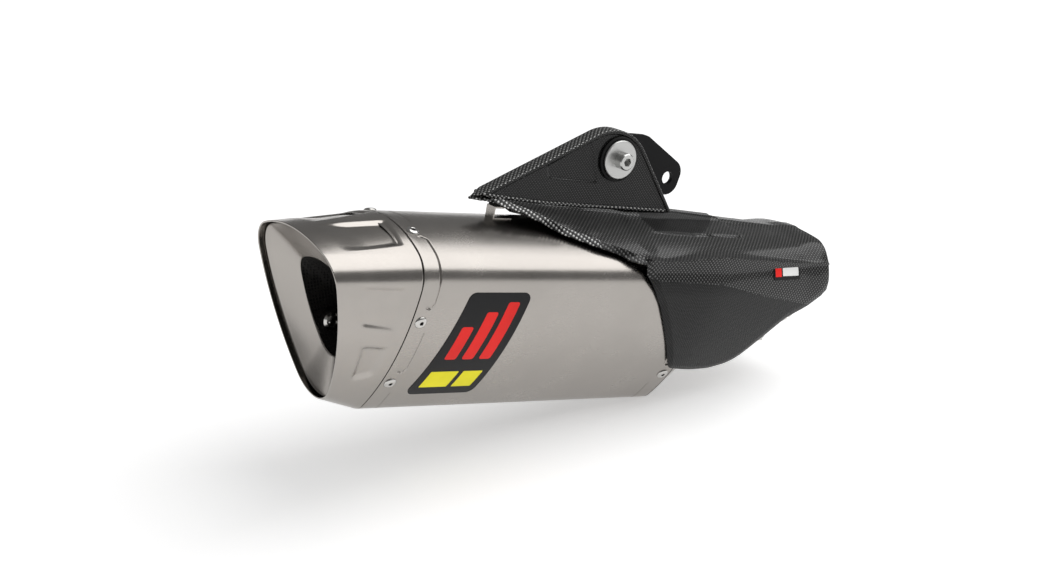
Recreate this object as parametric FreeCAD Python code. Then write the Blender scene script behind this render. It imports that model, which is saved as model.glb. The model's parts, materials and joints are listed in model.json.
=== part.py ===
import FreeCAD, Part

import math
import os

V = FreeCAD.Vector

# Racing silencer with a carbon heat shield, as it hangs on the motorcycle.  Millimetres.
#
# Every piece is drawn in the silencer's own frame and then placed:
#   x runs along the silencer's axis, from the outlet seam (x = 0) towards the inlet,
#   y runs across it, towards the wheel, and z runs up from the axis.
# In the finished part the axis slopes down towards the inlet by AXIS_SLOPE, and the origin is
# the middle of the open end of the inlet tube.

# ---- driving dimensions ----
AXIS_SLOPE = 12.0
SLEEVE_LENGTH = 268.0
SLEEVE_SHEET = 1.0
CAP_SHEET = 1.2
PLATE_SHEET = 1.2
FIT_GAP = 0.05

# Outlines across the axis, as (radius, degrees turned) of the crown's half, the shoulder's two
# stretches and the flank.
SLEEVE_CROWN_Z = 58.0
SLEEVE_ARCS = ((104.0, 29.5), (24.2, 22.5), (24.2, 49.5), (207.0, 31.0))
MOUTH_CROWN_Z = 50.5
MOUTH_ARCS = ((111.0, 22.4), (23.0, 29.6), (23.0, 44.5), (186.5, 28.6))
MOUTH_X = -57.3
MOUTH_SLASH = 17.5
SHIELD_END_CROWN_Z = 59.5
SHIELD_END_ARCS = ((200.0, 9.0), (21.0, 43.0), (48.0, 47.0), (150.0, 34.0))

# Outlet
THROAT_SCALE = 0.555
THROAT_X = -35.5
THROAT_Z = -10.4
LIP_DEPTH = 5.0
CORE_Z = -10.4
CORE_R = 27.0
CORE_SHEET = 1.0
CORE_FIRST_X = 6.0
CORE_LAST_X = 262.0
BULKHEAD_FLANGE = 13.0
WOOL_END_GAP = 17.5
DAMPER_SCREW_X = -17.5
DAMPER_SCREW_Z = -25.5
DAMPER_SCREW_CLEAR_R = 3.1
DAMPER_NUT_SEAT_R = 7.0
DAMPER_NUT_SEAT_DEPTH = 3.5

# Rivets and the pressed line beside each seam
RIVET_INSET = 7.0
RIVET_TURNS = (16.2, 108.0, 124.2)
RIVET_HEAD_R = 4.75
RIVET_HEAD_H = 1.6
RIVET_BODY_R = 2.4
LINE_INSET = 13.5
LINE_WIDTH = 0.8
LINE_DEPTH = 0.5
LINE_TURNS = ((-7.1, 7.1), (21.7, 104.2), (110.8, 120.4), (127.8, 232.2))

# Inlet
TUBE_Z = 8.0
TUBE_R = 31.5
TUBE_BORE_R = 30.25
TUBE_FIRST_X = 352.0
TUBE_LAST_X = 397.0
CAP_END_X = 362.0
CLAMP_X = 376.0
CLAMP_WIDTH = 14.0
CLAMP_SHEET = 1.0
CLAMP_R = TUBE_R + 0.05
CLAMP_BOLT_R = 3.0
EAR_GAP = 5.0
EAR_T = 2.0
EAR_REACH = 15.0

# Heat shield and fin
SHIELD_GAP = 5.0
SHIELD_SHEET = 1.5
SHIELD_LAST_X = 402.0
PROW_X = 69.5
PROW_SLOPE = 1.82
FIN_HALF = 7.0
FIN_WALL = 2.0
FIN_TIP = (69.5, 73.0)
FIN_APEX = (201.7, 140.6)
FIN_HEEL = (262.0, 66.2)
FIN_APEX_R = 39.0

# Sections of the ridge that carries the fin: x, then its right half as (y, z) corners from its top
# down into the shield.
PROW_SECTIONS = (
    (60.0, ((7.0, 67.0), (18.0, 63.0), (36.0, 50.0), (36.0, 45.0))),
    (79.0, ((7.0, 76.8), (18.0, 72.0), (36.0, 59.0), (36.0, 45.0))),
    (134.0, ((7.0, 73.0), (18.0, 69.0), (34.0, 58.0), (34.0, 45.0))),
    (266.0, ((7.0, 69.5), (10.0, 66.0), (16.0, 60.0), (16.0, 45.0))),
)

# Hanger
PIVOT_X = 196.5
PIVOT_Z = 108.4
HOLE_X = 263.0
HOLE_Z = 92.5
HOLE_R = 5.25
PLATE_T = 4.0
WASHER_R = 15.0
WASHER_T = 2.0
BUSH_R = 6.0
GROMMET_R = 11.0
GROMMET_LIP_R = 17.5
GROMMET_LIP_T = 1.5
M8_R = 4.0
M8_CLEAR_R = 4.2

REACH = 200.0          # half-length of the blocks that trim a piece


# ---- outlines ----
class Outline:
    """Closed outline across the axis: crown, two shoulders, two flanks and a keel, all tangent arcs.

    A point on it is named by its turn: the angle in degrees from straight up to the outward
    normal, clockwise seen with y to the right.  The keel's radius closes the outline."""

    def __init__(self, crown_z, arcs):
        y, z, turned = 0.0, crown_z, 0.0
        self.arcs = []
        for radius, sweep in arcs:
            cy, cz = self._step(y, z, turned, -radius)
            self.arcs.append((cy, cz, radius, turned + sweep))
            turned += sweep
            y, z = self._step(cy, cz, turned, radius)
        keel = y / math.sin(math.radians(turned))
        cy, cz = self._step(y, z, turned, -keel)
        self.arcs.append((cy, cz, keel, 180.0))

    @staticmethod
    def _step(y, z, turn, length):
        a = math.radians(turn)
        return y + length * math.sin(a), z + length * math.cos(a)

    def point(self, turn, offset=0.0):
        turn = turn % 360.0
        side = 1.0
        if turn > 180.0:
            turn, side = 360.0 - turn, -1.0
        for cy, cz, radius, last in self.arcs:
            if turn <= last + 1e-9:
                y, z = self._step(cy, cz, turn, radius + offset)
                return side * y, z
        raise ValueError("no such turn")

    def scaled(self, factor):
        """The same outline made smaller, its crown and keel equally far from z = 0."""
        top, bottom = self.point(0.0)[1], self.point(180.0)[1]
        twin = Outline.__new__(Outline)
        middle = (top + bottom) / 2
        twin.arcs = [(cy * factor, (cz - middle) * factor, r * factor, last)
                     for cy, cz, r, last in self.arcs]
        return twin

    def corners(self):
        """Turns where one arc meets the next, once round from the left flank's foot."""
        right = [last for _, _, _, last in self.arcs[:-1]]
        return [-t for t in reversed(right)] + right + [360.0 - right[-1]]


def circle_outline(radius, like):
    """A circle about z = 0 divided at the same turns as another outline."""
    twin = Outline.__new__(Outline)
    twin.arcs = [(0.0, 0.0, radius, last) for _, _, _, last in like.arcs]
    return twin


SLEEVE = Outline(SLEEVE_CROWN_Z, SLEEVE_ARCS)
MOUTH = Outline(MOUTH_CROWN_Z, MOUTH_ARCS)
THROAT = MOUTH.scaled(THROAT_SCALE)
SHIELD_END = Outline(SHIELD_END_CROWN_Z, SHIELD_END_ARCS)
# Outlines of the inlet cone, each with its distance ahead of the sleeve's end.
INLET_SECTIONS = (
    (0.3, Outline(SLEEVE_CROWN_Z, SLEEVE_ARCS)),
    (9.0, Outline(52.0, ((96.0, 29.5), (21.0, 22.5), (21.0, 49.5), (190.0, 31.0)))),
    (22.0, Outline(47.0, ((85.0, 29.5), (21.0, 22.5), (21.0, 45.5), (120.0, 33.0)))),
    (58.0, Outline(44.0, ((62.0, 29.5), (26.0, 22.5), (26.0, 39.5), (100.0, 33.0)))),
)


def ring(outline, x, offset=0.0, slash=0.0, z=0.0):
    """Wire of an outline in the plane through (x, 0, z) that leans towards the outlet by slash."""
    lean = math.radians(slash)

    def spot(turn):
        y, v = outline.point(turn, offset)
        return V(x - v * math.sin(lean), y, z + v * math.cos(lean))

    turns = outline.corners()
    edges = []
    for first, last in zip(turns, turns[1:]):
        edges.append(Part.Arc(spot(first), spot((first + last) / 2), spot(last)).toShape())
    return Part.Wire(edges)


def loft(wires, ruled=True):
    return Part.makeLoft(wires, True, ruled)


def sleeve_prism(first_x, last_x, offset):
    return Part.Face(ring(SLEEVE, first_x, offset)).extrude(V(last_x - first_x, 0, 0))


def sleeve_hoop(first_x, last_x, outer, inner):
    """Hoop that follows the sleeve's outline between two offsets."""
    return sleeve_prism(first_x, last_x, outer).cut(sleeve_prism(first_x, last_x, inner))


def rod(x, z, radius, first_y, last_y):
    """Cylinder across the silencer."""
    return Part.makeCylinder(radius, last_y - first_y, V(x, first_y, z), V(0, 1, 0))


def pipe(first_x, last_x, z, radius):
    """Cylinder along the silencer."""
    return Part.makeCylinder(radius, last_x - first_x, V(first_x, 0, z), V(1, 0, 0))


def slab(points, first_y, last_y):
    """Plate of a side-view outline of (x, z) corners, from first_y to last_y."""
    wire = Part.makePolygon([V(x, first_y, z) for x, z in points + points[:1]])
    return Part.Face(wire).extrude(V(0, last_y - first_y, 0))


def rounded(points, first_y, last_y):
    """Plate like slab, of (x, z, radius) corners rounded by tangent arcs."""
    count = len(points)
    edges = []
    last_end = None
    first_start = None
    for i, (x, z, radius) in enumerate(points):
        here = V(x, first_y, z)
        back = (V(points[i - 1][0], first_y, points[i - 1][1]) - here).normalize()
        on = (V(points[(i + 1) % count][0], first_y, points[(i + 1) % count][1]) - here).normalize()
        start, end = here, here
        if radius > 0.0:
            half = back.getAngle(on) / 2
            cut = radius / math.tan(half)
            start, end = here + back * cut, here + on * cut
            middle = here + (back + on).normalize() * (radius / math.sin(half) - radius)
        if last_end is not None:
            edges.append(Part.LineSegment(last_end, start).toShape())
        if radius > 0.0:
            edges.append(Part.Arc(start, middle, end).toShape())
        first_start = first_start or start
        last_end = end
    edges.append(Part.LineSegment(last_end, first_start).toShape())
    return Part.Face(Part.Wire(edges)).extrude(V(0, last_y - first_y, 0))


def at_surface(shape, x, turn, offset=0.0):
    """Move a shape drawn about +Z at the origin onto the sleeve, its +Z along the outward normal."""
    y, z = SLEEVE.point(turn, offset)
    shape = shape.copy()
    shape.Placement = FreeCAD.Placement(V(x, y, z), FreeCAD.Rotation(V(1, 0, 0), -turn))
    return shape


# ---- sleeve and its fasteners ----
def rivet_turns():
    return [side * turn for turn in RIVET_TURNS for side in (1, -1)]


def rivet_holes(x, radius, depth=8.0):
    drill = Part.makeCylinder(radius, 2 * depth, V(0, 0, -depth))
    return Part.makeCompound([at_surface(drill, x, turn) for turn in rivet_turns()])


def rivets(x, grip):
    """Six blind rivets: a domed head with its mandrel hole, the body and the swollen blind end."""
    dome_r = (RIVET_HEAD_R ** 2 + RIVET_HEAD_H ** 2) / (2 * RIVET_HEAD_H)
    dome = Part.makeSphere(dome_r, V(0, 0, RIVET_HEAD_H - dome_r))
    head = dome.common(Part.makeCylinder(RIVET_HEAD_R, RIVET_HEAD_H + 1.0))
    body = Part.makeCylinder(RIVET_BODY_R, grip, V(0, 0, -grip))
    bulb = Part.makeCone(RIVET_BODY_R, RIVET_BODY_R + 1.0, 2.5, V(0, 0, -grip - 2.5))
    mandrel = Part.makeCylinder(RIVET_BODY_R / 1.7, RIVET_HEAD_H + grip, V(0, 0, -grip + 1.0))
    one = head.fuse([body, bulb]).cut(mandrel).removeSplitter()
    return Part.makeCompound([at_surface(one, x, turn, FIT_GAP) for turn in rivet_turns()])


def pressed_line(x, towards):
    """Cutter for the line pressed round the sleeve, broken at the rivets, its ends hooked."""
    hoop = sleeve_hoop(x - LINE_WIDTH / 2, x + LINE_WIDTH / 2, 2.0, -LINE_DEPTH)
    hook = Part.makeBox(LINE_WIDTH, 5.5, LINE_DEPTH + 2.0, V(-LINE_WIDTH / 2, 0, -LINE_DEPTH))
    barb = Part.makeBox(LINE_WIDTH, 4.0, LINE_DEPTH + 2.0, V(-LINE_WIDTH / 2, 0, -LINE_DEPTH))
    cutters = []
    for first, last in LINE_TURNS:
        pieces = [hoop.common(wedge(first, last))]
        for turn, way in ((first, -1), (last, 1)):
            lean = 45.0 * way * towards
            bend = hook.copy()
            bend.rotate(V(0, 0, 0), V(0, 0, 1), lean if way > 0 else 180.0 + lean)
            pieces.append(at_surface(bend, x, turn))
            tip = barb.copy()
            tip.rotate(V(0, 0, 0), V(0, 0, 1), -lean if way < 0 else 180.0 - lean)
            reach = 5.3 * math.sqrt(0.5)
            tip.translate(V(-towards * reach, way * reach, 0))
            pieces.append(at_surface(tip, x, turn))
        cutters += pieces
    return cutters


def wedge(first, last):
    """Block between the outward normals at two turns, along the whole silencer."""
    def spot(turn, offset):
        y, z = SLEEVE.point(turn, offset)
        return V(-REACH, y, z)

    inner, outer = -3.0, 10.0
    if last - first > 60.0:
        halves = [wedge(first, (first + last) / 2), wedge((first + last) / 2, last)]
        return halves[0].fuse(halves[1])
    corners = [spot(first, inner), spot(first, outer), spot(last, outer), spot(last, inner)]
    middle = (first + last) / 2
    corners.insert(2, spot(middle, outer * 2.0))
    corners.append(spot(middle, inner * 2.0))
    face = Part.Face(Part.makePolygon(corners + corners[:1]))
    return face.extrude(V(4 * REACH, 0, 0))


def sleeve():
    body = sleeve_hoop(0.0, SLEEVE_LENGTH, 0.0, -SLEEVE_SHEET)
    for x, towards in ((LINE_INSET, 1), (SLEEVE_LENGTH - LINE_INSET, -1)):
        body = body.cut(pressed_line(x, towards))
    for x in (RIVET_INSET, SLEEVE_LENGTH - RIVET_INSET):
        body = body.cut(rivet_holes(x, RIVET_BODY_R + FIT_GAP))
    return body


# ---- outlet end ----
def mouth(offset, depth=0.0):
    return ring(MOUTH, MOUTH_X + depth, offset, MOUTH_SLASH)


def throat(offset, depth=0.0):
    return ring(THROAT, THROAT_X + depth, offset, MOUTH_SLASH, THROAT_Z)


def core_ring(x, radius):
    return ring(circle_outline(radius, THROAT), x, 0.0, 0.0, CORE_Z)


def end_cap():
    """Tapered cap that closes the outlet end, with a collar that slips inside the sleeve."""
    seam = -0.4
    shell = loft([ring(SLEEVE, seam), mouth(0.0)])
    shell = shell.cut(loft([ring(SLEEVE, seam, -CAP_SHEET), mouth(-CAP_SHEET)]))
    under = -SLEEVE_SHEET - FIT_GAP
    collar = sleeve_hoop(-1.5, BULKHEAD_FLANGE, under, under - CAP_SHEET)
    step = sleeve_hoop(-1.5, seam, -0.2, under - CAP_SHEET)
    cap = shell.fuse([collar, step.common(loft([ring(SLEEVE, -4.0), ring(SLEEVE, seam)]))])
    return cap.cut(rivet_holes(RIVET_INSET, RIVET_BODY_R + FIT_GAP)).removeSplitter()


def end_cap_liner():
    """Funnel set back inside the lip, from the mouth down to the throat, with a turned flange."""
    sheet = 1.0
    rim = -CAP_SHEET - 0.3
    outer = loft([mouth(rim, LIP_DEPTH), throat(sheet)])
    inner = loft([mouth(rim - sheet, LIP_DEPTH), throat(0.0)])
    flange = loft([throat(2.4), throat(2.4, sheet)]).cut(loft([throat(0.0), throat(0.0, sheet)]))
    return outer.cut(inner).fuse(flange).removeSplitter()


def outlet_tube():
    """Welded duct from the throat's outline to the round core, with the bulkhead's seat."""
    start = 1.0
    outer = loft([throat(2.4, start), core_ring(CORE_FIRST_X, CORE_R + 1.3)])
    inner = loft([throat(1.2, start), core_ring(CORE_FIRST_X, CORE_R + 0.1)])
    seat = pipe(CORE_FIRST_X, CORE_FIRST_X + 8.0, CORE_Z, CORE_R + 1.3)
    seat = seat.cut(pipe(CORE_FIRST_X, CORE_FIRST_X + 8.0, CORE_Z, CORE_R + 0.1))
    return outer.cut(inner).fuse(seat).cut(damper_drill(3.1))


def damper_drill(radius):
    return rod(DAMPER_SCREW_X, DAMPER_SCREW_Z, radius, 5.0, 45.0)


def damper_wall_y():
    """How far out the duct's side wall is where the damper's screw goes through it."""
    core_y = math.sqrt(CORE_R ** 2 - (DAMPER_SCREW_Z - CORE_Z) ** 2)
    lean = math.radians(MOUTH_SLASH)
    v = (DAMPER_SCREW_Z - THROAT_Z) / math.cos(lean)
    outline = [THROAT.point(half_degree / 2.0) for half_degree in range(361)]
    throat_y = max(y for y, z in outline if abs(z - v) < 1.0)
    throat_x = THROAT_X - v * math.sin(lean)
    share = (DAMPER_SCREW_X - throat_x) / (CORE_FIRST_X - throat_x)
    return throat_y + share * (core_y - throat_y)


def noise_damper():
    """Removable insert inside the duct: a shaped sleeve that ends in a baffle and a small pipe."""
    start, back_x, back_r, pipe_r, pad_r = 1.2, 0.0, 24.0, 17.0, 8.0
    outer = loft([throat(0.9, start), core_ring(back_x, back_r)])
    inner = loft([throat(-0.1, start), core_ring(back_x, back_r - 1.0)])
    baffle = pipe(back_x, back_x + 1.5, CORE_Z, back_r)
    neck = pipe(back_x + 1.5, back_x + 26.0, CORE_Z, pipe_r)
    bore = pipe(back_x - 1.0, back_x + 30.0, CORE_Z, pipe_r - 1.2)
    wall = damper_wall_y()
    pad = rod(DAMPER_SCREW_X, DAMPER_SCREW_Z, pad_r, wall - DAMPER_NUT_SEAT_DEPTH, wall + pad_r).common(outer)
    seat = rod(DAMPER_SCREW_X, DAMPER_SCREW_Z, DAMPER_NUT_SEAT_R, 5.0, wall - DAMPER_NUT_SEAT_DEPTH)
    insert = outer.cut(inner).fuse([baffle, neck, pad])
    return insert.cut([bore, seat, damper_drill(DAMPER_SCREW_CLEAR_R)]).removeSplitter()


def hexagon(across_flats, height):
    """Hexagonal prism from the origin along +Z."""
    r = across_flats / math.sqrt(3.0)
    corners = [V(r * math.cos(math.radians(60 * i)), r * math.sin(math.radians(60 * i)), 0) for i in range(7)]
    return Part.Face(Part.makePolygon(corners)).extrude(V(0, 0, height))


def upright(shape, x, z, y):
    """Turn a shape drawn along +Z to lie along +Y, and put its origin at (x, y, z)."""
    shape = shape.copy()
    shape.Placement = FreeCAD.Placement(V(x, y, z), FreeCAD.Rotation(V(1, 0, 0), -90))
    return shape


def damper_screw():
    """M6 flanged hexagon screw, its head inside the duct and its shank through the far wall."""
    head_h, flange_h, flange_r, length = 5.0, 1.2, 6.5, 14.0
    head = hexagon(8.0, head_h).common(Part.makeCone(4.3, 5.4, head_h))
    dish = Part.makeCylinder(2.2, 1.2, V(0, 0, 0))
    flange = Part.makeCone(4.6, flange_r, flange_h, V(0, 0, head_h - flange_h))
    shank = Part.makeCylinder(3.0, length, V(0, 0, head_h))
    screw = head.fuse([flange, shank]).cut(dish).removeSplitter()
    return upright(screw, DAMPER_SCREW_X, DAMPER_SCREW_Z, damper_wall_y() - 3.5 - head_h)


def damper_nut():
    """Weld nut on the duct's outside that takes the damper's screw."""
    nut = Part.makeCylinder(6.0, 5.0).cut(Part.makeCylinder(3.0, 5.0))
    nut = upright(nut, DAMPER_SCREW_X, DAMPER_SCREW_Z, damper_wall_y() + 1.5)
    start = 1.0
    duct = loft([throat(2.4, start), core_ring(CORE_FIRST_X, CORE_R + 1.3)])
    return nut.cut(duct)


# ---- inside the sleeve ----
def bulkhead(plate_x, flange_x, offset):
    """Pressed end plate with a flange that the rivets grip and a hole for the core."""
    first, last = min(plate_x, flange_x), max(plate_x, flange_x)
    flange = sleeve_hoop(first, last, offset, offset - PLATE_SHEET)
    plate = sleeve_prism(plate_x - PLATE_SHEET / 2, plate_x + PLATE_SHEET / 2, offset)
    hole = pipe(plate_x - 5.0, plate_x + 5.0, CORE_Z, CORE_R + FIT_GAP)
    return flange.fuse(plate).cut(hole)


def outlet_bulkhead():
    offset = -SLEEVE_SHEET - CAP_SHEET - 2 * FIT_GAP
    plate = bulkhead(16.0, 2.0, offset)
    return plate.cut(rivet_holes(RIVET_INSET, RIVET_BODY_R + FIT_GAP)).removeSplitter()


def inlet_bulkhead():
    offset = -SLEEVE_SHEET - CAP_SHEET - 2 * FIT_GAP
    plate = bulkhead(SLEEVE_LENGTH - 16.0, SLEEVE_LENGTH - 2.0, offset)
    return plate.cut(rivet_holes(SLEEVE_LENGTH - RIVET_INSET, RIVET_BODY_R + FIT_GAP)).removeSplitter()


def perforated_core():
    """Straight perforated pipe that carries the gas through the packing."""
    rows, around, hole_r, first_x, pitch = 17, 6, 3.0, 30.0, 12.5
    tube = pipe(CORE_FIRST_X, CORE_LAST_X, CORE_Z, CORE_R)
    tube = tube.cut(pipe(CORE_FIRST_X, CORE_LAST_X, CORE_Z, CORE_R - CORE_SHEET))
    drills = []
    for row in range(rows):
        for spoke in range(around):
            turn = math.radians(180.0 * (spoke + 0.5 * (row % 2)) / around)
            way = V(0, math.cos(turn), math.sin(turn))
            start = V(first_x + pitch * row, 0, CORE_Z) - way * (CORE_R + 2.0)
            drills.append(Part.makeCylinder(hole_r, 2 * CORE_R + 4.0, start, way))
    return tube.cut(Part.makeCompound(drills))


def wool_packing(first_x, last_x):
    """Mineral wool blanket that fills a stretch of the space between the core and the sleeve."""
    blanket = sleeve_prism(first_x, last_x, -SLEEVE_SHEET - 0.5)
    return blanket.cut(pipe(0.0, SLEEVE_LENGTH, CORE_Z, CORE_R + 0.3))


def wool_packing_rear():
    return wool_packing(WOOL_END_GAP, SLEEVE_LENGTH / 2)


def wool_packing_front():
    return wool_packing(SLEEVE_LENGTH / 2, SLEEVE_LENGTH - WOOL_END_GAP)


# ---- inlet end ----
def inlet_loft(offset):
    """Solid that narrows from the sleeve's outline to the round inlet tube, inset by offset."""
    wires = [ring(outline, SLEEVE_LENGTH + ahead, offset) for ahead, outline in INLET_SECTIONS]
    end = circle_outline(TUBE_R + FIT_GAP + CAP_SHEET, SLEEVE)
    wires.append(ring(end, CAP_END_X, offset, 0.0, TUBE_Z))
    return loft(wires)


def inlet_cap():
    """Cone over the inlet end, with a collar inside the sleeve and a round neck on the tube."""
    under = -SLEEVE_SHEET - FIT_GAP
    collar = sleeve_hoop(SLEEVE_LENGTH - BULKHEAD_FLANGE, SLEEVE_LENGTH + 1.5, under, under - CAP_SHEET)
    cap = inlet_loft(0.0).cut(inlet_loft(-CAP_SHEET)).fuse(collar)
    return cap.cut(rivet_holes(SLEEVE_LENGTH - RIVET_INSET, RIVET_BODY_R + FIT_GAP)).removeSplitter()


def inlet_link():
    """Inner cone that leads the gas from the inlet tube down to the core."""
    def wires(grow):
        low = ring(circle_outline(CORE_R + 0.1 + grow, SLEEVE), SLEEVE_LENGTH - 14.0, 0.0, 0.0, CORE_Z)
        seat = ring(circle_outline(CORE_R + 0.1 + grow, SLEEVE), CORE_LAST_X, 0.0, 0.0, CORE_Z)
        high = ring(circle_outline(TUBE_BORE_R - 1.2 + grow, SLEEVE), TUBE_FIRST_X - 1.0, 0.0, 0.0, TUBE_Z)
        return [low, seat, high]

    return loft(wires(1.0)).cut(loft(wires(0.0)))


def inlet_tube():
    """Round inlet with four slits at its open end, so that the clamp can close it."""
    slit_w, slit_l = 2.0, 26.0
    tube = pipe(TUBE_FIRST_X, TUBE_LAST_X, TUBE_Z, TUBE_R)
    tube = tube.cut(pipe(TUBE_FIRST_X, TUBE_LAST_X, TUBE_Z, TUBE_BORE_R))
    for lean in (45.0, 135.0):
        corner = V(TUBE_LAST_X - slit_l, -REACH, TUBE_Z - slit_w / 2)
        slit = Part.makeBox(slit_l + 1.0, 2 * REACH, slit_w, corner)
        slit.rotate(V(0, 0, TUBE_Z), V(1, 0, 0), lean)
        tube = tube.cut(slit)
    return tube


def ear_bolt_z():
    return TUBE_Z - CLAMP_R - CLAMP_SHEET - EAR_REACH / 2


def clamp_band():
    """Band round the slit end of the tube, its two ears hanging below."""
    last_x = CLAMP_X + CLAMP_WIDTH
    band = pipe(CLAMP_X, last_x, TUBE_Z, CLAMP_R + CLAMP_SHEET)
    ears = Part.makeBox(CLAMP_WIDTH, EAR_GAP + 2 * EAR_T, CLAMP_R + CLAMP_SHEET + EAR_REACH,
                        V(CLAMP_X, -EAR_GAP / 2 - EAR_T, TUBE_Z - CLAMP_R - CLAMP_SHEET - EAR_REACH))
    slot = Part.makeBox(CLAMP_WIDTH, EAR_GAP, REACH, V(CLAMP_X, -EAR_GAP / 2, TUBE_Z - REACH))
    band = band.fuse(ears).cut([pipe(CLAMP_X, last_x, TUBE_Z, CLAMP_R), slot])
    drill = rod(CLAMP_X + CLAMP_WIDTH / 2, ear_bolt_z(), CLAMP_BOLT_R + 0.2, -20.0, 20.0)
    return band.cut(drill).removeSplitter()


def clamp_bolt():
    """M6 hexagon bolt through the ears, its head on the outer side."""
    reach = EAR_GAP / 2 + EAR_T
    bolt = hexagon(10.0, 4.0).common(Part.makeCone(4.9, 5.8, 4.0))
    bolt = bolt.fuse(Part.makeCylinder(CLAMP_BOLT_R, 2 * reach + 9.0, V(0, 0, 4.0)))
    return upright(bolt, CLAMP_X + CLAMP_WIDTH / 2, ear_bolt_z(), -reach - 4.0)


def clamp_nut():
    reach = EAR_GAP / 2 + EAR_T
    nut = hexagon(10.0, 5.0).cut(Part.makeCylinder(CLAMP_BOLT_R, 5.0))
    return upright(nut, CLAMP_X + CLAMP_WIDTH / 2, ear_bolt_z(), reach)


# ---- heat shield ----
def prow(inset):
    """Ridge down the middle of the shield's top that carries the fin, made smaller by inset."""
    wires = []
    for x, half in PROW_SECTIONS:
        right = [V(x, max(y - inset, 0.5), z - inset) for y, z in half]
        left = [V(p.x, -p.y, p.z) for p in reversed(right)]
        wires.append(Part.makePolygon(right + left + right[:1]))
    return loft(wires)


def shield_loft(inset):
    """Solid under the shield's outer face, inset evenly."""
    stand_off = SHIELD_GAP + SHIELD_SHEET - inset
    wires = [ring(SLEEVE, PROW_X - 10.0, stand_off), ring(SLEEVE, SLEEVE_LENGTH, stand_off),
             ring(SHIELD_END, SHIELD_LAST_X, -inset)]
    return loft(wires).fuse(prow(inset))


def shield_side():
    """Side view of the shield's extent: the raked front edge, then the rising lower edge."""
    corners = [(PROW_X - 4.0, 150.0, 0.0), (PROW_X - 4.0, 53.0, 0.0), (178.0, 53.0, 25.0),
               (256.5, -51.0, 6.0), (318.0, -52.0, 22.0), (362.0, -4.0, 35.0),
               (SHIELD_LAST_X, 21.0, 0.0), (SHIELD_LAST_X, 150.0, 0.0)]
    return rounded(corners, -REACH, REACH)


def prow_plan(back_x=SHIELD_LAST_X):
    """Plan view of the shield's extent: two straight edges that meet at the prow."""
    corners = [V(PROW_X, 0, -REACH), V(PROW_X + PROW_SLOPE * 80.0, -80.0, -REACH), V(back_x, -80.0, -REACH),
               V(back_x, 80.0, -REACH), V(PROW_X + PROW_SLOPE * 80.0, 80.0, -REACH)]
    return Part.Face(Part.makePolygon(corners + corners[:1])).extrude(V(0, 0, 2 * REACH))


def heat_shield():
    shell = shield_loft(0.0).cut(shield_loft(SHIELD_SHEET))
    shell = shell.common(shield_side()).common(prow_plan())
    slot = Part.makeBox(104.0, 2 * (FIN_HALF - FIN_WALL), 60.0, V(144.0, -FIN_HALF + FIN_WALL, 40.0))
    return shell.cut(slot).removeSplitter()


def fin_outline(inset, floor=55.0):
    """Side view of the fin, made smaller by inset, with its foot carried down to floor."""
    tip_x, tip_z = FIN_TIP
    apex_x, apex_z = FIN_APEX
    heel_x, heel_z = FIN_HEEL
    rise = math.atan2(apex_z - tip_z, apex_x - tip_x)
    fall = math.atan2(apex_z - heel_z, heel_x - apex_x)
    drop = inset / math.cos((rise - fall) / 2) / math.cos((rise + fall) / 2)
    peak = (apex_x, apex_z - drop, FIN_APEX_R - inset)
    front = tip_x + (tip_z - floor) / math.tan(-rise) + inset / math.sin(rise)
    back = heel_x + (heel_z - floor) / math.tan(fall) - inset / math.sin(fall)
    return [(front, floor, 0.0), peak, (back, floor, 0.0)]


def mounting_fin():
    """Hollow carbon fin bonded on the shield's ridge, open below for the hanger tab."""
    fin = rounded(fin_outline(0.0), -FIN_HALF, FIN_HALF)
    hollow = rounded(fin_outline(FIN_WALL), -FIN_HALF + FIN_WALL, FIN_HALF - FIN_WALL)
    fin = fin.cut(hollow).common(prow_plan()).cut(shield_loft(0.0))
    return fin.cut(rod(PIVOT_X, PIVOT_Z, GROMMET_R + FIT_GAP, -REACH, REACH)).removeSplitter()


def hanger_tab():
    """Titanium tab welded on the sleeve's crown, up inside the fin to the rubber bush."""
    half, foot_half, foot_t, boss_r = 1.5, 11.0, 1.5, 18.0
    foot = sleeve_hoop(152.0, 240.0, foot_t, 0.0)
    foot = foot.common(Part.makeBox(REACH, 2 * foot_half, REACH, V(130.0, -foot_half, 0.0)))
    low = SLEEVE_CROWN_Z + foot_t / 2
    corners = [(156.0, low), (236.0, low), (PIVOT_X + 15.0, PIVOT_Z - 8.0), (PIVOT_X - 15.0, PIVOT_Z - 8.0)]
    web = slab(corners, -half, half)
    boss = rod(PIVOT_X, PIVOT_Z, boss_r, -half, half)
    tab = foot.fuse([web, boss]).cut(rod(PIVOT_X, PIVOT_Z, GROMMET_R + FIT_GAP, -REACH, REACH))
    return tab.removeSplitter()


def rubber_grommet():
    """Rubber bush through the fin and the tab, with a lip on each side."""
    side = FIN_HALF + GROMMET_LIP_T
    body = rod(PIVOT_X, PIVOT_Z, GROMMET_R, -side, side)
    lips = [rod(PIVOT_X, PIVOT_Z, GROMMET_LIP_R, -side, -FIN_HALF),
            rod(PIVOT_X, PIVOT_Z, GROMMET_LIP_R, FIN_HALF, side)]
    return body.fuse(lips).cut(rod(PIVOT_X, PIVOT_Z, BUSH_R + FIT_GAP, -side, side)).removeSplitter()


def front_clip():
    """Bent titanium clip on the crown that the shield's prow rests on."""
    t, half = 1.2, 5.0
    foot = sleeve_hoop(91.0, 108.0, t, 0.0)
    foot = foot.common(Part.makeBox(30.0, 2 * half, REACH, V(85.0, -half, 0.0)))
    post = Part.makeBox(t, 2 * half, 9.0, V(91.0, -half, SLEEVE_CROWN_Z + 0.4))
    shelf = Part.makeBox(9.0, 2 * half, t, V(91.0, -half, SLEEVE_CROWN_Z + 9.4 - t))
    return foot.fuse([post, shelf]).removeSplitter()


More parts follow.
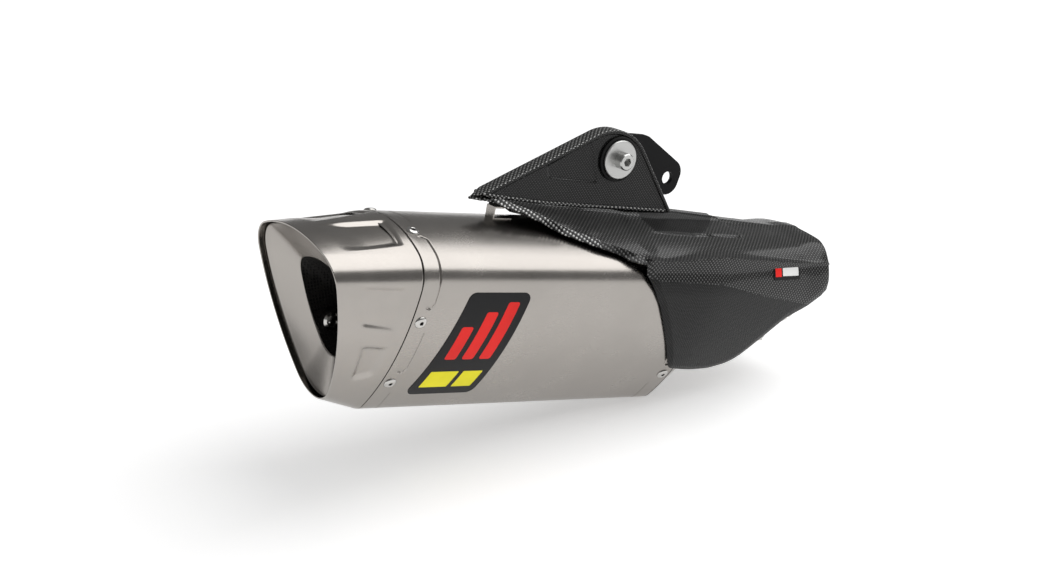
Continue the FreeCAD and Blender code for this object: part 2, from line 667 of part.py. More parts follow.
def clip_pad():
    """Rubber pad between the clip's shelf and the prow."""
    pad = Part.makeBox(8.0, 9.0, 20.0, V(92.0, -4.5, SLEEVE_CROWN_Z + 9.4))
    return pad.common(shield_loft(SHIELD_SHEET + 0.05))


def shield_pads():
    """Four rubber pads that keep the shield off the sleeve."""
    radius = 8.0
    gap = sleeve_hoop(200.0, SLEEVE_LENGTH - 2.0, SHIELD_GAP - FIT_GAP, FIT_GAP)
    pads = []
    for turn in (40.0, 106.0):
        for side in (1, -1):
            plug = at_surface(Part.makeCylinder(radius, 12.0, V(0, 0, -3.0)), 246.0, side * turn)
            pads.append(gap.common(plug))
    return Part.makeCompound(pads)


# ---- hanger ----
def hanger_stack():
    """Where the near washer, the bush and the plate meet: half the bush's length."""
    return FIN_HALF + GROMMET_LIP_T + 0.2


def spacer_bush():
    end = hanger_stack()
    return rod(PIVOT_X, PIVOT_Z, BUSH_R, -end, end).cut(rod(PIVOT_X, PIVOT_Z, M8_CLEAR_R, -end, end))


def large_washer():
    """Chamfered aluminium washer under the bolt's head."""
    end, chamfer = hanger_stack(), 0.8
    disc = Part.makeCylinder(WASHER_R, WASHER_T - chamfer, V(0, 0, chamfer))
    disc = disc.fuse(Part.makeCone(WASHER_R - chamfer, WASHER_R, chamfer)).removeSplitter()
    disc = disc.cut(Part.makeCylinder(M8_CLEAR_R, WASHER_T))
    return upright(disc, PIVOT_X, PIVOT_Z, -end - WASHER_T)


def hanger_bolt():
    """M8 socket-head cap screw."""
    head_r, head_h, socket, chamfer = 6.5, 8.0, 6.0, 0.8
    end = hanger_stack()
    length = 2 * end + WASHER_T + PLATE_T + 8.5
    head = Part.makeCylinder(head_r, head_h - chamfer, V(0, 0, chamfer))
    head = head.fuse(Part.makeCone(head_r - chamfer, head_r, chamfer))
    bolt = head.fuse(Part.makeCylinder(M8_R, length, V(0, 0, head_h)))
    bolt = bolt.cut(hexagon(socket, 4.5)).removeSplitter()
    return upright(bolt, PIVOT_X, PIVOT_Z, -end - WASHER_T - head_h)


def hanger_plate():
    """Black link plate: a wide end on the M8 bolt and an eye for the frame."""
    near = hanger_stack()
    corners = [(PIVOT_X - 14.0, PIVOT_Z + 17.5, 12.0), (PIVOT_X + 38.5, PIVOT_Z + 17.0, 14.0),
               (HOLE_X + 14.3, HOLE_Z + 9.5, 11.0), (HOLE_X + 9.0, HOLE_Z - 14.5, 11.5),
               (HOLE_X - 16.0, HOLE_Z - 12.0, 10.0), (PIVOT_X - 14.0, PIVOT_Z - 14.0, 12.0)]
    plate = rounded(corners, near, near + PLATE_T)
    holes = [rod(PIVOT_X, PIVOT_Z, M8_CLEAR_R, 0.0, REACH), rod(HOLE_X, HOLE_Z, HOLE_R, 0.0, REACH)]
    return plate.cut(holes)


def hanger_nut():
    """M8 flange nut."""
    flange_r, flange_t, height = 8.9, 1.8, 8.0
    nut = hexagon(13.0, height).fuse(Part.makeCone(flange_r, 7.2, flange_t))
    nut = nut.cut(Part.makeCylinder(M8_R, height)).removeSplitter()
    return upright(nut, PIVOT_X, PIVOT_Z, hanger_stack() + PLATE_T)


# ---- labels ----
def side_label():
    """Thin plain plaque on the near flank, leaning towards the outlet at its foot."""
    corners = [(41.3, 19.3, 6.0), (94.3, 19.3, 6.0), (84.8, -69.0, 6.0), (25.9, -69.0, 6.0)]
    outline = rounded(corners, -REACH, -1.0)
    return sleeve_hoop(20.0, 100.0, 0.35, FIT_GAP).common(outline)


def shield_badge():
    """Small plain badge on the shield's near side."""
    corners = [(332.0, 42.0, 2.0), (364.0, 42.0, 2.0), (364.0, 29.0, 2.0), (332.0, 29.0, 2.0)]
    outline = rounded(corners, -REACH, -1.0)
    return shield_loft(-0.4).cut(shield_loft(-FIT_GAP)).common(outline)


# ---- assembly ----
PIECES = {
    "sleeve": sleeve, "end_cap": end_cap, "end_cap_liner": end_cap_liner, "outlet_tube": outlet_tube,
    "noise_damper": noise_damper, "damper_screw": damper_screw, "damper_nut": damper_nut,
    "outlet_bulkhead": outlet_bulkhead, "inlet_bulkhead": inlet_bulkhead,
    "perforated_core": perforated_core, "wool_packing_rear": wool_packing_rear,
    "wool_packing_front": wool_packing_front,
    "inlet_cap": inlet_cap, "inlet_link": inlet_link, "inlet_tube": inlet_tube,
    "outlet_rivets": lambda: rivets(RIVET_INSET, 4.0),
    "inlet_rivets": lambda: rivets(SLEEVE_LENGTH - RIVET_INSET, 4.0),
    "heat_shield": heat_shield, "mounting_fin": mounting_fin, "front_clip": front_clip,
    "clip_pad": clip_pad, "shield_pads": shield_pads, "hanger_tab": hanger_tab,
    "rubber_grommet": rubber_grommet, "side_label": side_label, "shield_badge": shield_badge,
    "spacer_bush": spacer_bush, "large_washer": large_washer, "hanger_bolt": hanger_bolt,
    "hanger_plate": hanger_plate, "hanger_nut": hanger_nut,
    "clamp_band": clamp_band, "clamp_bolt": clamp_bolt, "clamp_nut": clamp_nut,
}


def placed(shape):
    """Move a piece from the silencer's own frame to the finished part's frame."""
    shape = shape.copy()
    shape.translate(V(-TUBE_LAST_X, 0, -TUBE_Z))
    shape.rotate(V(0, 0, 0), V(0, 1, 0), AXIS_SLOPE)
    return shape


def main():
    os.makedirs("parts", exist_ok=True)
    for name, make in PIECES.items():
        shape = placed(make())
        if not shape.isValid() or not shape.Solids:
            raise ValueError(name + " is not a valid solid")
        shape.exportStep(os.path.join("parts", name + ".step"))


if __name__ == "__main__":
    main()
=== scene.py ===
"""Racing silencer with a carbon heat shield: its visible surfaces, built round the CAD frame."""

import json
import math

import bpy
import numpy as np
from bpy.props import FloatProperty, FloatVectorProperty, PointerProperty
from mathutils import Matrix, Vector


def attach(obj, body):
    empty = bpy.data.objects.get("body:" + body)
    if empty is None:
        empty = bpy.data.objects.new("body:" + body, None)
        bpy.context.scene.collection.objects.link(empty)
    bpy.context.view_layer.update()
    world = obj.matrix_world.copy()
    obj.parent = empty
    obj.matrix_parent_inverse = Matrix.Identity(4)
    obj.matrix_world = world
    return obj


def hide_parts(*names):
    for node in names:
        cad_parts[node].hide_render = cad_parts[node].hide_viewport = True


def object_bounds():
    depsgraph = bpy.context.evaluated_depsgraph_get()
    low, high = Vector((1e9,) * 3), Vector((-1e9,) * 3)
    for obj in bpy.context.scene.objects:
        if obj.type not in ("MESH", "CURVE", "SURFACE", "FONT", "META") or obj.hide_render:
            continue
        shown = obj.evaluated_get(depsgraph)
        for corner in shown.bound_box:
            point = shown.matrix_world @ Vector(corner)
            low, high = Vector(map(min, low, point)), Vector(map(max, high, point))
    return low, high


bl_info = {
    "name": "Racing silencer",
    "version": (1, 0, 0),
    "blender": (4, 5, 0),
    "location": "View3D > Sidebar > Silencer",
    "description": "Builds the visible surfaces of a racing silencer round its CAD frame",
    "category": "Object",
}

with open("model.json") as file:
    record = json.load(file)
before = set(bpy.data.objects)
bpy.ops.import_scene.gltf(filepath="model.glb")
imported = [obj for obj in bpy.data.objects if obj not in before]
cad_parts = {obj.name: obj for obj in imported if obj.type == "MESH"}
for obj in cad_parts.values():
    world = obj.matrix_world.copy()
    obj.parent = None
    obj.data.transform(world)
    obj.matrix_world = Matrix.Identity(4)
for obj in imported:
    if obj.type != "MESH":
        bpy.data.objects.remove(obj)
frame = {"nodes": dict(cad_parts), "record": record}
CAD_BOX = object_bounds()

# ---- the silencer's own frame, in millimetres ----
# x runs from the outlet seam towards the inlet, y across (minus is the outer side), z up from the axis.
INLET = next(m for m in frame["record"]["mounts"] if m["name"] == "inlet_socket")
ALONG = np.array(INLET["axis"])
ACROSS = np.array((0.0, 1.0, 0.0))
UP = np.array((-ALONG[2], 0.0, ALONG[0]))
INLET_END_X = 397.0
INLET_Z = 8.0

SLEEVE_LENGTH = 268.0
SLEEVE_SHEET = 1.0
CAP_SHEET = 1.2
MOUTH_X = -57.3
MOUTH_SLASH = math.radians(17.5)
THROAT_X = -35.5
THROAT_Z = -10.4
THROAT_SCALE = 0.555
LIP_DEPTH = 5.0
SEAM_GAP = 0.7
RIVET_INSET = 7.0
RIVET_TURNS = (16.2, 108.0, 124.2)
LINE_INSET = 13.5
# Turns from straight up where a pressed line starts and ends, and whether each end is hooked.
LINE_RUNS = ((21.7, 104.2, True, True), (110.8, 120.4, False, True), (127.8, 180.0, False, False))
# Pressed pockets of the cap: corners as (share of the way to the mouth, outline station), then how
# far each fades towards the mouth, the width of its wall and its depth, in millimetres.
POCKETS = (
    (((0.64, 0.14), (0.096, 0.24), (0.135, 0.81), (0.80, 0.91)), 20.0, 6.5, 2.3),
    (((0.81, 2.82), (0.166, 2.88), (0.180, 3.28), (0.63, 3.27)), 12.0, 6.0, 2.4),
    (((0.66, 3.46), (0.221, 3.44), (0.250, 3.68), (0.47, 3.74)), 9.0, 6.0, 2.2),
)
SHIELD_OFFSET = 6.5
SHIELD_SHEET = 1.5
SHIELD_LAST_X = 402.0
PROW_X = 69.5
PROW_SLOPE = 1.82
PROW_RUNOUT = 0.068
FLOOR_GLOW = 0.4
SURROUND_GLOW = 0.2
PAD_X = 246.0
PAD_TURNS = (40.0, -40.0, 106.0, -106.0)
# Sections of the ridge that carries the fin: x, then its half as (y, z) corners.
PROW_SECTIONS = (
    (60.0, ((7.0, 70.0), (18.0, 64.0), (36.0, 50.0))),
    (79.0, ((7.0, 76.2), (10.0, 75.0), (18.0, 70.0), (36.0, 54.0))),
    (88.0, ((7.0, 75.6), (10.0, 74.2), (18.0, 70.5), (36.0, 57.0))),
    (105.0, ((7.0, 74.4), (9.0, 72.6), (13.0, 71.6), (20.0, 70.2), (29.0, 65.6), (38.0, 57.0))),
    (131.0, ((7.0, 72.8), (9.0, 70.4), (13.0, 69.0), (20.0, 66.8), (29.0, 63.0), (35.0, 58.5), (42.0, 50.0))),
    (160.0, ((7.0, 72.0), (9.0, 69.0), (14.0, 66.0), (24.0, 62.4), (32.0, 58.0), (40.0, 48.0))),
    (210.0, ((7.0, 71.0), (8.5, 67.6), (12.0, 65.2), (18.0, 62.0), (24.0, 57.0), (32.0, 45.0))),
    (266.0, ((7.0, 68.6), (8.5, 66.5), (11.0, 64.4), (14.0, 60.0), (20.0, 50.0))),
)
# The shield's lip: y over the first stretch, then z along the raked edge and the lower edge.
LIP_PLAN = ((69.5, 0.0), (131.4, 34.0), (158.0, 49.0), (177.0, 56.5), (190.0, 62.7), (198.0, 66.4))
LIP_TOP = ((69.5, 73.5), (87.7, 70.5), (105.2, 67.8), (131.0, 56.5), (158.0, 50.0), (177.0, 45.6), (190.0, 39.0))
LIP_SIDE = ((190.0, 39.0), (198.0, 31.0), (206.0, 21.0), (217.0, 8.0), (229.0, -9.0), (242.0, -27.0),
            (255.0, -45.5), (259.0, -49.5), (268.0, -50.5), (285.0, -52.0), (305.0, -52.0), (322.0, -48.0),
            (332.0, -42.0), (339.0, -32.0), (352.0, -16.5), (362.0, -5.5), (377.0, 3.0), (391.0, 12.0),
            (402.0, 21.0))
LIP_BAND = 4.6
LIP_TUCK = -2.6
# Where the lip band's brighter carbon, a painted highlight, ends along the shield.
HIGHLIGHT_BAND_END = 160.0
CREASE = ((196.0, 31.5), (209.0, 30.0), (270.0, 27.5), (308.0, 19.4), (343.0, 13.3), (374.0, 8.0), (402.0, 4.0))
PLATEAU_RISE = 1.5
PLATEAU = ((209.0, 32.0), (257.0, 36.0), (315.0, 34.0), (402.0, 30.0))
FIN_HALF = 7.0
FIN_BASE = ((69.5, 72.6), (79.0, 77.3), (134.0, 73.0), (252.6, 70.3), (262.0, 66.2))
FIN_POCKET = ((131.3, 99.5), (134.9, 91.3), (180.9, 89.2), (168.8, 121.0))
FIN_TIP = (69.5, 73.0)
FIN_APEX = (201.7, 140.6)
FIN_HEEL = (262.0, 66.2)
FIN_APEX_R = 39.0
PIVOT = (196.5, 108.4)

# The label's outline and its plain marks, as (x, z) corners on the sleeve's outer flank.
LABEL = ((25.9, -69.0), (84.8, -69.0), (94.3, 19.3), (41.3, 19.3))
LABEL_RED_BARS = (
    ((40.5, -36.0), (50.5, -36.0), (53.6, -8.0), (43.6, -8.0)),
    ((55.5, -36.0), (65.5, -36.0), (70.2, 4.0), (60.2, 4.0)),
    ((70.5, -36.0), (80.5, -36.0), (86.0, 12.0), (76.0, 12.0)),
)
LABEL_YELLOW_BARS = (
    ((34.0, -62.0), (58.0, -62.0), (60.3, -47.0), (36.3, -47.0)),
    ((62.0, -62.0), (79.0, -62.0), (81.3, -47.0), (64.3, -47.0)),
)
BADGE = ((332.0, 29.0), (364.0, 29.0), (364.0, 42.0), (332.0, 42.0))
BADGE_RED = ((333.5, 31.5), (341.0, 31.5), (341.0, 39.5), (333.5, 39.5))
BADGE_WHITE = ((342.5, 32.0), (362.0, 32.0), (362.0, 38.5), (342.5, 38.5))


def to_part(points):
    """Points of the silencer's own frame, in millimetres, as points of the part's frame, in metres."""
    p = np.asarray(points, float)
    moved = (p[..., 0:1] - INLET_END_X) * ALONG + p[..., 1:2] * ACROSS + (p[..., 2:3] - INLET_Z) * UP
    return moved / 1000.0 + np.array(INLET["pos_m"])


def ease(value, low, high):
    """Smooth step from 0 at low to 1 at high."""
    t = np.clip((np.asarray(value, float) - low) / (high - low), 0.0, 1.0)
    return t * t * (3.0 - 2.0 * t)


class Outline:
    """Closed outline across the silencer: crown, two shoulder arcs, flank and keel, all tangent.

    A point on it is named by its station: 0 is the crown's middle, each whole number is where one
    arc meets the next, 5 is the keel's middle, and minus is the outer side."""

    def __init__(self, crown_z, arcs):
        y, z, turned = 0.0, crown_z, 0.0
        centres, turns = [], [0.0]
        for radius, sweep in arcs:
            cy = y - radius * math.sin(math.radians(turned))
            cz = z - radius * math.cos(math.radians(turned))
            turned += sweep
            y = cy + radius * math.sin(math.radians(turned))
            z = cz + radius * math.cos(math.radians(turned))
            centres.append((cy, cz, radius))
            turns.append(turned)
        keel = y / math.sin(math.radians(turned))
        centres.append((0.0, z - keel * math.cos(math.radians(turned)), keel))
        turns.append(180.0)
        self.centres = np.array(centres)
        self.turns = np.array(turns)
        arc_lengths = self.centres[:, 2] * np.radians(np.diff(self.turns))
        self.lengths = np.concatenate([[0.0], np.cumsum(arc_lengths)])

    def scaled(self, factor):
        """The same outline made smaller, its crown and keel equally far from z = 0."""
        top = self.at(0.0)[1]
        bottom = self.at(5.0)[1]
        twin = Outline.__new__(Outline)
        twin.turns = self.turns
        twin.centres = (self.centres - np.array((0.0, (top + bottom) / 2, 0.0))) * factor
        twin.lengths = self.lengths * factor
        return twin

    def at(self, station, offset=0.0):
        station = np.asarray(station, float)
        arc = np.minimum(np.abs(station).astype(int), 4)
        turn = np.radians(np.interp(np.abs(station), range(6), self.turns))
        radius = self.centres[arc, 2] + offset
        y = self.centres[arc, 0] + radius * np.sin(turn)
        return np.where(station < 0, -y, y), self.centres[arc, 1] + radius * np.cos(turn)

    def length(self, station):
        """Distance along the outline from the crown's middle, minus on the outer side."""
        return np.sign(station) * np.interp(np.abs(station), range(6), self.lengths)

    def station_at(self, length):
        return np.sign(length) * np.interp(np.abs(length), self.lengths, range(6))

    def station_of_turn(self, turn):
        turn = (np.asarray(turn, float) + 180.0) % 360.0 - 180.0
        return np.sign(turn) * np.interp(np.abs(turn), self.turns, range(6))


SLEEVE = Outline(58.0, ((104.0, 29.5), (24.2, 22.5), (24.2, 49.5), (207.0, 31.0)))
MOUTH = Outline(50.5, ((111.0, 22.4), (23.0, 29.6), (23.0, 44.5), (186.5, 28.6)))
THROAT = MOUTH.scaled(THROAT_SCALE)
SHIELD_END = Outline(59.5, ((200.0, 9.0), (21.0, 43.0), (48.0, 47.0), (150.0, 34.0)))


# ---- mesh building ----
def grid_mesh(name, points, closed=(False, False), uv=None, middle_z=0.0):
    """Object of a grid of points, its faces turned outwards from the silencer's axis."""
    rows, columns = points.shape[:2]
    first = np.arange(rows if closed[0] else rows - 1)
    second = np.arange(columns if closed[1] else columns - 1)
    i, j = np.meshgrid(first, second, indexing="ij")
    i2, j2 = (i + 1) % rows, (j + 1) % columns
    quads = np.stack([i * columns + j, i * columns + j2, i2 * columns + j2, i2 * columns + j], -1)
    quads = quads.reshape(-1, 4)
    flat = points.reshape(-1, 3)
    corner = flat[quads]
    normal = np.cross(corner[:, 2] - corner[:, 0], corner[:, 3] - corner[:, 1])
    away = corner.mean(1) - np.array((0.0, 0.0, middle_z))
    away[:, 0] = 0.0
    if (normal * away).sum() < 0:
        quads = quads[:, ::-1]
    return mesh_object(name, flat, quads, None if uv is None else uv.reshape(-1, 2))


def mesh_object(name, points, faces, uv=None):
    """Smooth-shaded object of points in the silencer's own frame; uv is in millimetres per point."""
    mesh = bpy.data.meshes.new(name)
    mesh.from_pydata(to_part(points).tolist(), [], [tuple(int(k) for k in f) for f in faces])
    mesh.polygons.foreach_set("use_smooth", [True] * len(mesh.polygons))
    if uv is not None:
        layer = mesh.uv_layers.new(name="cloth")
        corner = np.zeros(len(mesh.loops), int)
        mesh.loops.foreach_get("vertex_index", corner)
        layer.data.foreach_set("uv", np.asarray(uv, float)[corner].ravel())
    mesh.validate()
    thing = bpy.data.objects.new(name, mesh)
    bpy.context.scene.collection.objects.link(thing)
    return thing


def settle(thing, angle=35.0):
    """Turn an object's modifiers into its mesh and keep its sharp edges crisp."""
    bpy.context.view_layer.update()
    depsgraph = bpy.context.evaluated_depsgraph_get()
    mesh = bpy.data.meshes.new_from_object(thing.evaluated_get(depsgraph))
    thing.modifiers.clear()
    thing.data = mesh
    mesh.polygons.foreach_set("use_smooth", [True] * len(mesh.polygons))
    mesh.set_sharp_from_angle(angle=math.radians(angle))
    return thing


def thicken(thing, sheet, bevel=0.0):
    """Give a surface its sheet thickness inwards, with softened rims."""
    shell = thing.modifiers.new("sheet", "SOLIDIFY")
    shell.thickness = sheet / 1000.0
    shell.offset = -1.0
    shell.use_even_offset = False
    if bevel > 0.0:
        rim = thing.modifiers.new("rim", "BEVEL")
        rim.width = bevel / 1000.0
        rim.segments = 3
        rim.limit_method = "ANGLE"
        rim.angle_limit = math.radians(50.0)
    return settle(thing)


def turned(name, profile, centre, y_axis_out=-1.0, steps=96):
    """Body of revolution about the hanger's axis, from (radius, distance out) profile points."""
    angles = np.linspace(0.0, 2 * math.pi, steps, endpoint=False)
    radius = np.array([r for r, _ in profile])[:, None]
    out = np.array([d for _, d in profile])[:, None]
    x = centre[0] + radius * np.cos(angles)
    z = centre[1] + radius * np.sin(angles)
    y = np.broadcast_to(y_axis_out * out, x.shape)
    points = np.stack([x, y, z], -1)
    rows, columns = points.shape[:2]
    faces = []
    for i in range(rows):
        for j in range(columns):
            a, b = i * columns + j, i * columns + (j + 1) % columns
            faces.append((a, b, ((i + 1) % rows) * columns + (j + 1) % columns, ((i + 1) % rows) * columns + j))
    thing = mesh_object(name, points.reshape(-1, 3), faces)
    if volume_sign(thing.data) < 0:
        thing.data.flip_normals()
    return thing


def volume_sign(mesh):
    """Signed volume of a closed mesh, plus when its faces turn outwards."""
    total = 0.0
    for face in mesh.polygons:
        corners = [mesh.vertices[v].co for v in face.vertices]
        for k in range(1, len(corners) - 1):
            total += corners[0].dot(corners[k].cross(corners[k + 1]))
    return total


def finish_piece(thing, body, slot, material, *nodes):
    """Colour a piece unless it has its colours, let it ride on its body and stand for its CAD nodes."""
    if material:
        thing.data.materials.clear()
        thing.data.materials.append(material)
    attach(thing, body)
    if nodes:
        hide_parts(*nodes)
    return thing


# ---- sleeve ----
def spaced(first, last, spots, reach, fine, coarse):
    """Values from first to last, fine within reach of each spot and coarse elsewhere."""
    values = [first]
    while values[-1] < last - coarse:
        near = min(abs(values[-1] - spot) for spot in spots) < reach
        values.append(values[-1] + (fine if near else coarse))
    return np.array(values + [last])


def line_paths(line_x, to_seam):
    """Pressed line beside a seam, as (x, distance round) runs with a hooked end at some rivets."""
    def round_at(turn):
        return float(SLEEVE.length(SLEEVE.station_of_turn(turn)))

    last = SLEEVE.lengths[-1]
    runs = [[(line_x, round_at(-7.1)), (line_x, round_at(7.1))]]
    for side in (1.0, -1.0):
        for first, second, hook_first, hook_second in LINE_RUNS:
            start = side * round_at(first)
            end = side * (round_at(second) if second < 180.0 else last + 1.0)
            run = [(line_x, start), (line_x, end)]
            if hook_first:
                run = hook(line_x, start, -side, to_seam)[::-1] + run
            if hook_second:
                run = run + hook(line_x, end, side, to_seam)
            runs.append(run)
    return runs


def hook(line_x, end, way, to_seam):
    """The bent end of a pressed line, turned towards the seam."""
    return [(line_x + 3.4 * to_seam, end + 3.0 * way), (line_x + 6.0 * to_seam, end + 2.2 * way)]


def distance_to_runs(x, s, runs):
    """Shortest distance from each (x, s) to a set of runs."""
    best = np.full(x.shape, 1e9)
    for run in runs:
        for (ax, az), (bx, bz) in zip(run, run[1:]):
            dx, dz = bx - ax, bz - az
            t = np.clip(((x - ax) * dx + (s - az) * dz) / (dx * dx + dz * dz), 0.0, 1.0)
            best = np.minimum(best, np.hypot(x - ax - t * dx, s - az - t * dz))
    return best


def sleeve_skin(sizes):
    """Rolled titanium sleeve with rounded rims and a pressed line beside each seam."""
    rivet_spots = [0.0] + [w * float(SLEEVE.length(SLEEVE.station_of_turn(t))) for t in RIVET_TURNS for w in (1, -1)]
    last = SLEEVE.lengths[-1]
    around = spaced(-last, last, rivet_spots[1:], 11.0, 0.45, 1.7)[:-1]
    lines = (LINE_INSET, SLEEVE_LENGTH - LINE_INSET)
    middle = spaced(0.7, SLEEVE_LENGTH - 0.7, (9.5, 258.5, LINE_INSET, SLEEVE_LENGTH - LINE_INSET), 5.5, 0.33, 4.0)
    x = np.concatenate([(12.0, 0.6, 0.15, 0.0, 0.1, 0.35), middle])
    offset = np.concatenate([(-1.0, -1.0, -0.85, -0.5, -0.2, -0.05), np.zeros(len(middle))])
    ends = np.array((0.35, 0.1, 0.0, 0.15, 0.6, 12.0))
    x = np.concatenate([x, SLEEVE_LENGTH - ends])
    offset = np.concatenate([offset, (-0.05, -0.2, -0.5, -0.85, -1.0, -1.0)])
    xx, ss = np.meshgrid(x, around, indexing="ij")
    depth = np.zeros(xx.shape)
    for line_x, to_seam in zip(lines, (-1.0, 1.0)):
        gap = distance_to_runs(xx, ss, line_paths(line_x, to_seam))
        depth += sizes.line_depth * np.exp(-(gap / sizes.line_width) ** 2)
    outer = np.broadcast_to((offset > -0.01)[:, None], xx.shape)
    y, z = SLEEVE.at(SLEEVE.station_at(ss), offset[:, None] - np.where(outer, depth, 0.0))
    uv = np.stack([xx, ss], -1)
    return grid_mesh("sleeve_skin", np.stack([xx, y, z], -1), (False, True), uv)


# ---- outlet cap ----
def cap_point(share, station, offset):
    """Point between the seam (share 0) and the mouth's plane (share 1)."""
    y0, z0 = SLEEVE.at(station, offset)
    y1, z1 = MOUTH.at(station, offset)
    seam = np.stack(np.broadcast_arrays(-SEAM_GAP, y0, z0), -1)
    mouth = np.stack([MOUTH_X - z1 * math.sin(MOUTH_SLASH), y1, z1 * math.cos(MOUTH_SLASH)], -1)
    return seam + np.asarray(share)[..., None] * (mouth - seam)


def pocket_depth(share, station, corners, fade, wall, depth):
    """Depth of a pressed pocket whose corners are (share, station), faded out towards the mouth."""
    def flat(s, u):
        return -MOUTH_X * np.asarray(s), 0.94 * SLEEVE.length(u)

    px, pz = flat(share, np.abs(station))
    cx, cz = flat(*zip(*corners))
    middle = (cx.mean(), cz.mean())
    total = np.zeros(px.shape)
    for k in range(3):
        ax, az, bx, bz = cx[k], cz[k], cx[k + 1], cz[k + 1]
        nx, nz = az - bz, bx - ax
        size = math.hypot(nx, nz)
        if (middle[0] - ax) * nx + (middle[1] - az) * nz < 0:
            size = -size
        total += np.exp(-((px - ax) * nx + (pz - az) * nz) / size * 0.9)
    inside = -np.log(total) / 0.9
    reach = max(cx[0], cx[3])
    return depth * ease(inside, -wall / 2, wall / 2) * (1.0 - ease(px, reach - fade, reach))


def end_cap_shell(sizes):
    """Tapered outlet cap with three pressed pockets each side and a rolled lip."""
    last = SLEEVE.lengths[-1]
    around = np.linspace(-last, last, 640, endpoint=False)
    station = SLEEVE.station_at(around)
    outer = np.linspace(0.012, 0.985, 110)
    share = np.concatenate([(0.15, 0.006, 0.0, 0.002, 0.006), outer,
                            (0.994, 1.0, 1.003, 1.003, 1.0, 0.99), np.linspace(0.975, 0.8, 8)])
    offset = np.concatenate([(-1.2, -1.2, -0.8, -0.35, -0.1), np.zeros(110),
                             (0.05, 0.02, -0.25, -0.85, -1.15, -1.2), np.full(8, -1.2)])
    ss, uu = np.meshgrid(share, station, indexing="ij")
    depth = np.zeros(ss.shape)
    for corners, fade, wall, deep in POCKETS:
        depth += pocket_depth(ss, uu, corners, fade, wall, deep * sizes.pocket_depth)
    outer_rows = (offset == 0.0)[:, None]
    points = cap_point(ss, uu, offset[:, None] - np.where(outer_rows, depth, 0.0))
    return grid_mesh("end_cap_shell", points, (False, True))


def liner_funnel():
    """Funnel inside the lip: a folded rim, soft walls and a rounded edge at the throat."""
    last = SLEEVE.lengths[-1]
    station = SLEEVE.station_at(np.linspace(-last, last, 480, endpoint=False))

    def ring(share, lift):
        y0, z0 = MOUTH.at(station, -1.55)
        y1, z1 = THROAT.at(station, 0.0)
        rim_x = MOUTH_X + LIP_DEPTH
        rim = np.stack([rim_x - z0 * math.sin(MOUTH_SLASH), y0, z0 * math.cos(MOUTH_SLASH)], -1)
        throat = np.stack([THROAT_X - z1 * math.sin(MOUTH_SLASH), y1, THROAT_Z + z1 * math.cos(MOUTH_SLASH)], -1)
        point = rim + share * (throat - rim)
        middle = np.array((THROAT_X, 0.0, THROAT_Z))
        inward = middle - point
        inward[:, 0] *= 0.3
        inward /= np.linalg.norm(inward, axis=1)[:, None]
        return point + lift[0] * inward + np.array((lift[1], 0.0, 0.0))

    shares = np.linspace(0.03, 0.97, 40)
    rows = [ring(0.0, (-0.2, 2.0)), ring(0.0, (0.0, 0.5)), ring(0.0, (0.15, -0.1)), ring(0.012, (0.15, 0.0))]
    rows += [ring(s, (-1.6 * math.sin(math.pi * s), 0.0)) for s in shares]
    rows += [ring(0.985, (0.1, 0.1)), ring(1.0, (0.15, 0.6)), ring(1.0, (-0.2, 1.3)), ring(1.0, (-0.8, 2.4))]
    return grid_mesh("liner_funnel", np.array(rows), (False, True))


# ---- heat shield ----
def shield_weight(x):
    """How far the section has changed from the sleeve's outline to the shield's end outline."""
    ahead = np.asarray(x, float) - SLEEVE_LENGTH
    return np.clip((ahead + np.sqrt(ahead ** 2 + 144.0)) / 2.0 / (SHIELD_LAST_X - SLEEVE_LENGTH), 0.0, 1.0)


def shield_section(x, station, offset):
    y0, z0 = SLEEVE.at(station, SHIELD_OFFSET + offset)
    y1, z1 = SHIELD_END.at(station, offset)
    w = shield_weight(x)
    return y0 + w * (y1 - y0), z0 + w * (z1 - z0)


def prow_height(x, y):
    """Height of the ridge that carries the fin at (x, y), with its corners eased."""
    spread = [prow_corner_height(x + dx, np.abs(y) + dy) for dx in (-8.0, -3.0, 3.0, 8.0) for dy in (-1.5, 0.0, 1.5)]
    return np.mean(spread, axis=0)


def prow_corner_height(x, y):
    """Height of the ridge above the axis at (x, y), straight between the corners of its sections."""
    heights = []
    for _, corners in PROW_SECTIONS:
        heights.append(np.interp(np.abs(y), [c[0] for c in corners], [c[1] for c in corners]))
    stations = [section[0] for section in PROW_SECTIONS]
    k = int(np.clip(np.searchsorted(stations, x) - 1, 0, len(stations) - 2))
    t = float(np.clip((x - stations[k]) / (stations[k + 1] - stations[k]), 0.0, 1.0))
    return heights[k] + t * (heights[k + 1] - heights[k]) - max(x - stations[-1], 0.0) * PROW_RUNOUT


def soft_max(a, b, radius):
    return 0.5 * (a + b + np.sqrt((a - b) ** 2 + radius ** 2))


def tent(distance, depth, reach):
    """Inward relief that leaves a crease where distance is 0."""
    return depth * (1.0 - np.exp(-np.sqrt(distance ** 2 + 0.25) / reach))


def shield_relief(x, y, z):
    """How far the shield's face lies inside its plain section, in millimetres."""
    crease_z = np.interp(x, [c[0] for c in CREASE], [c[1] for c in CREASE])
    strength = ease(x, 196.0, 214.0) * (1.0 - ease(x, 372.0, 396.0))
    below = z - crease_z
    relief = strength * tent(below, np.where(below > 0, 1.5, 2.2), np.where(below > 0, 9.0, 12.0))
    return relief - PLATEAU_RISE * on_plateau(x, y)


def on_plateau(x, y):
    """1 on the raised plateau of the shield's top, 0 off it, with a quick step between."""
    side = np.interp(x, [c[0] for c in PLATEAU], [c[1] for c in PLATEAU])
    back = 316.0 - 0.012 * (y - 28.0) ** 2 * (y < 28.0)
    return ease(x, 212.0, 250.0) * ease(side - np.abs(y), -0.5, 1.4) * ease(back - x, -3.0, 1.5)


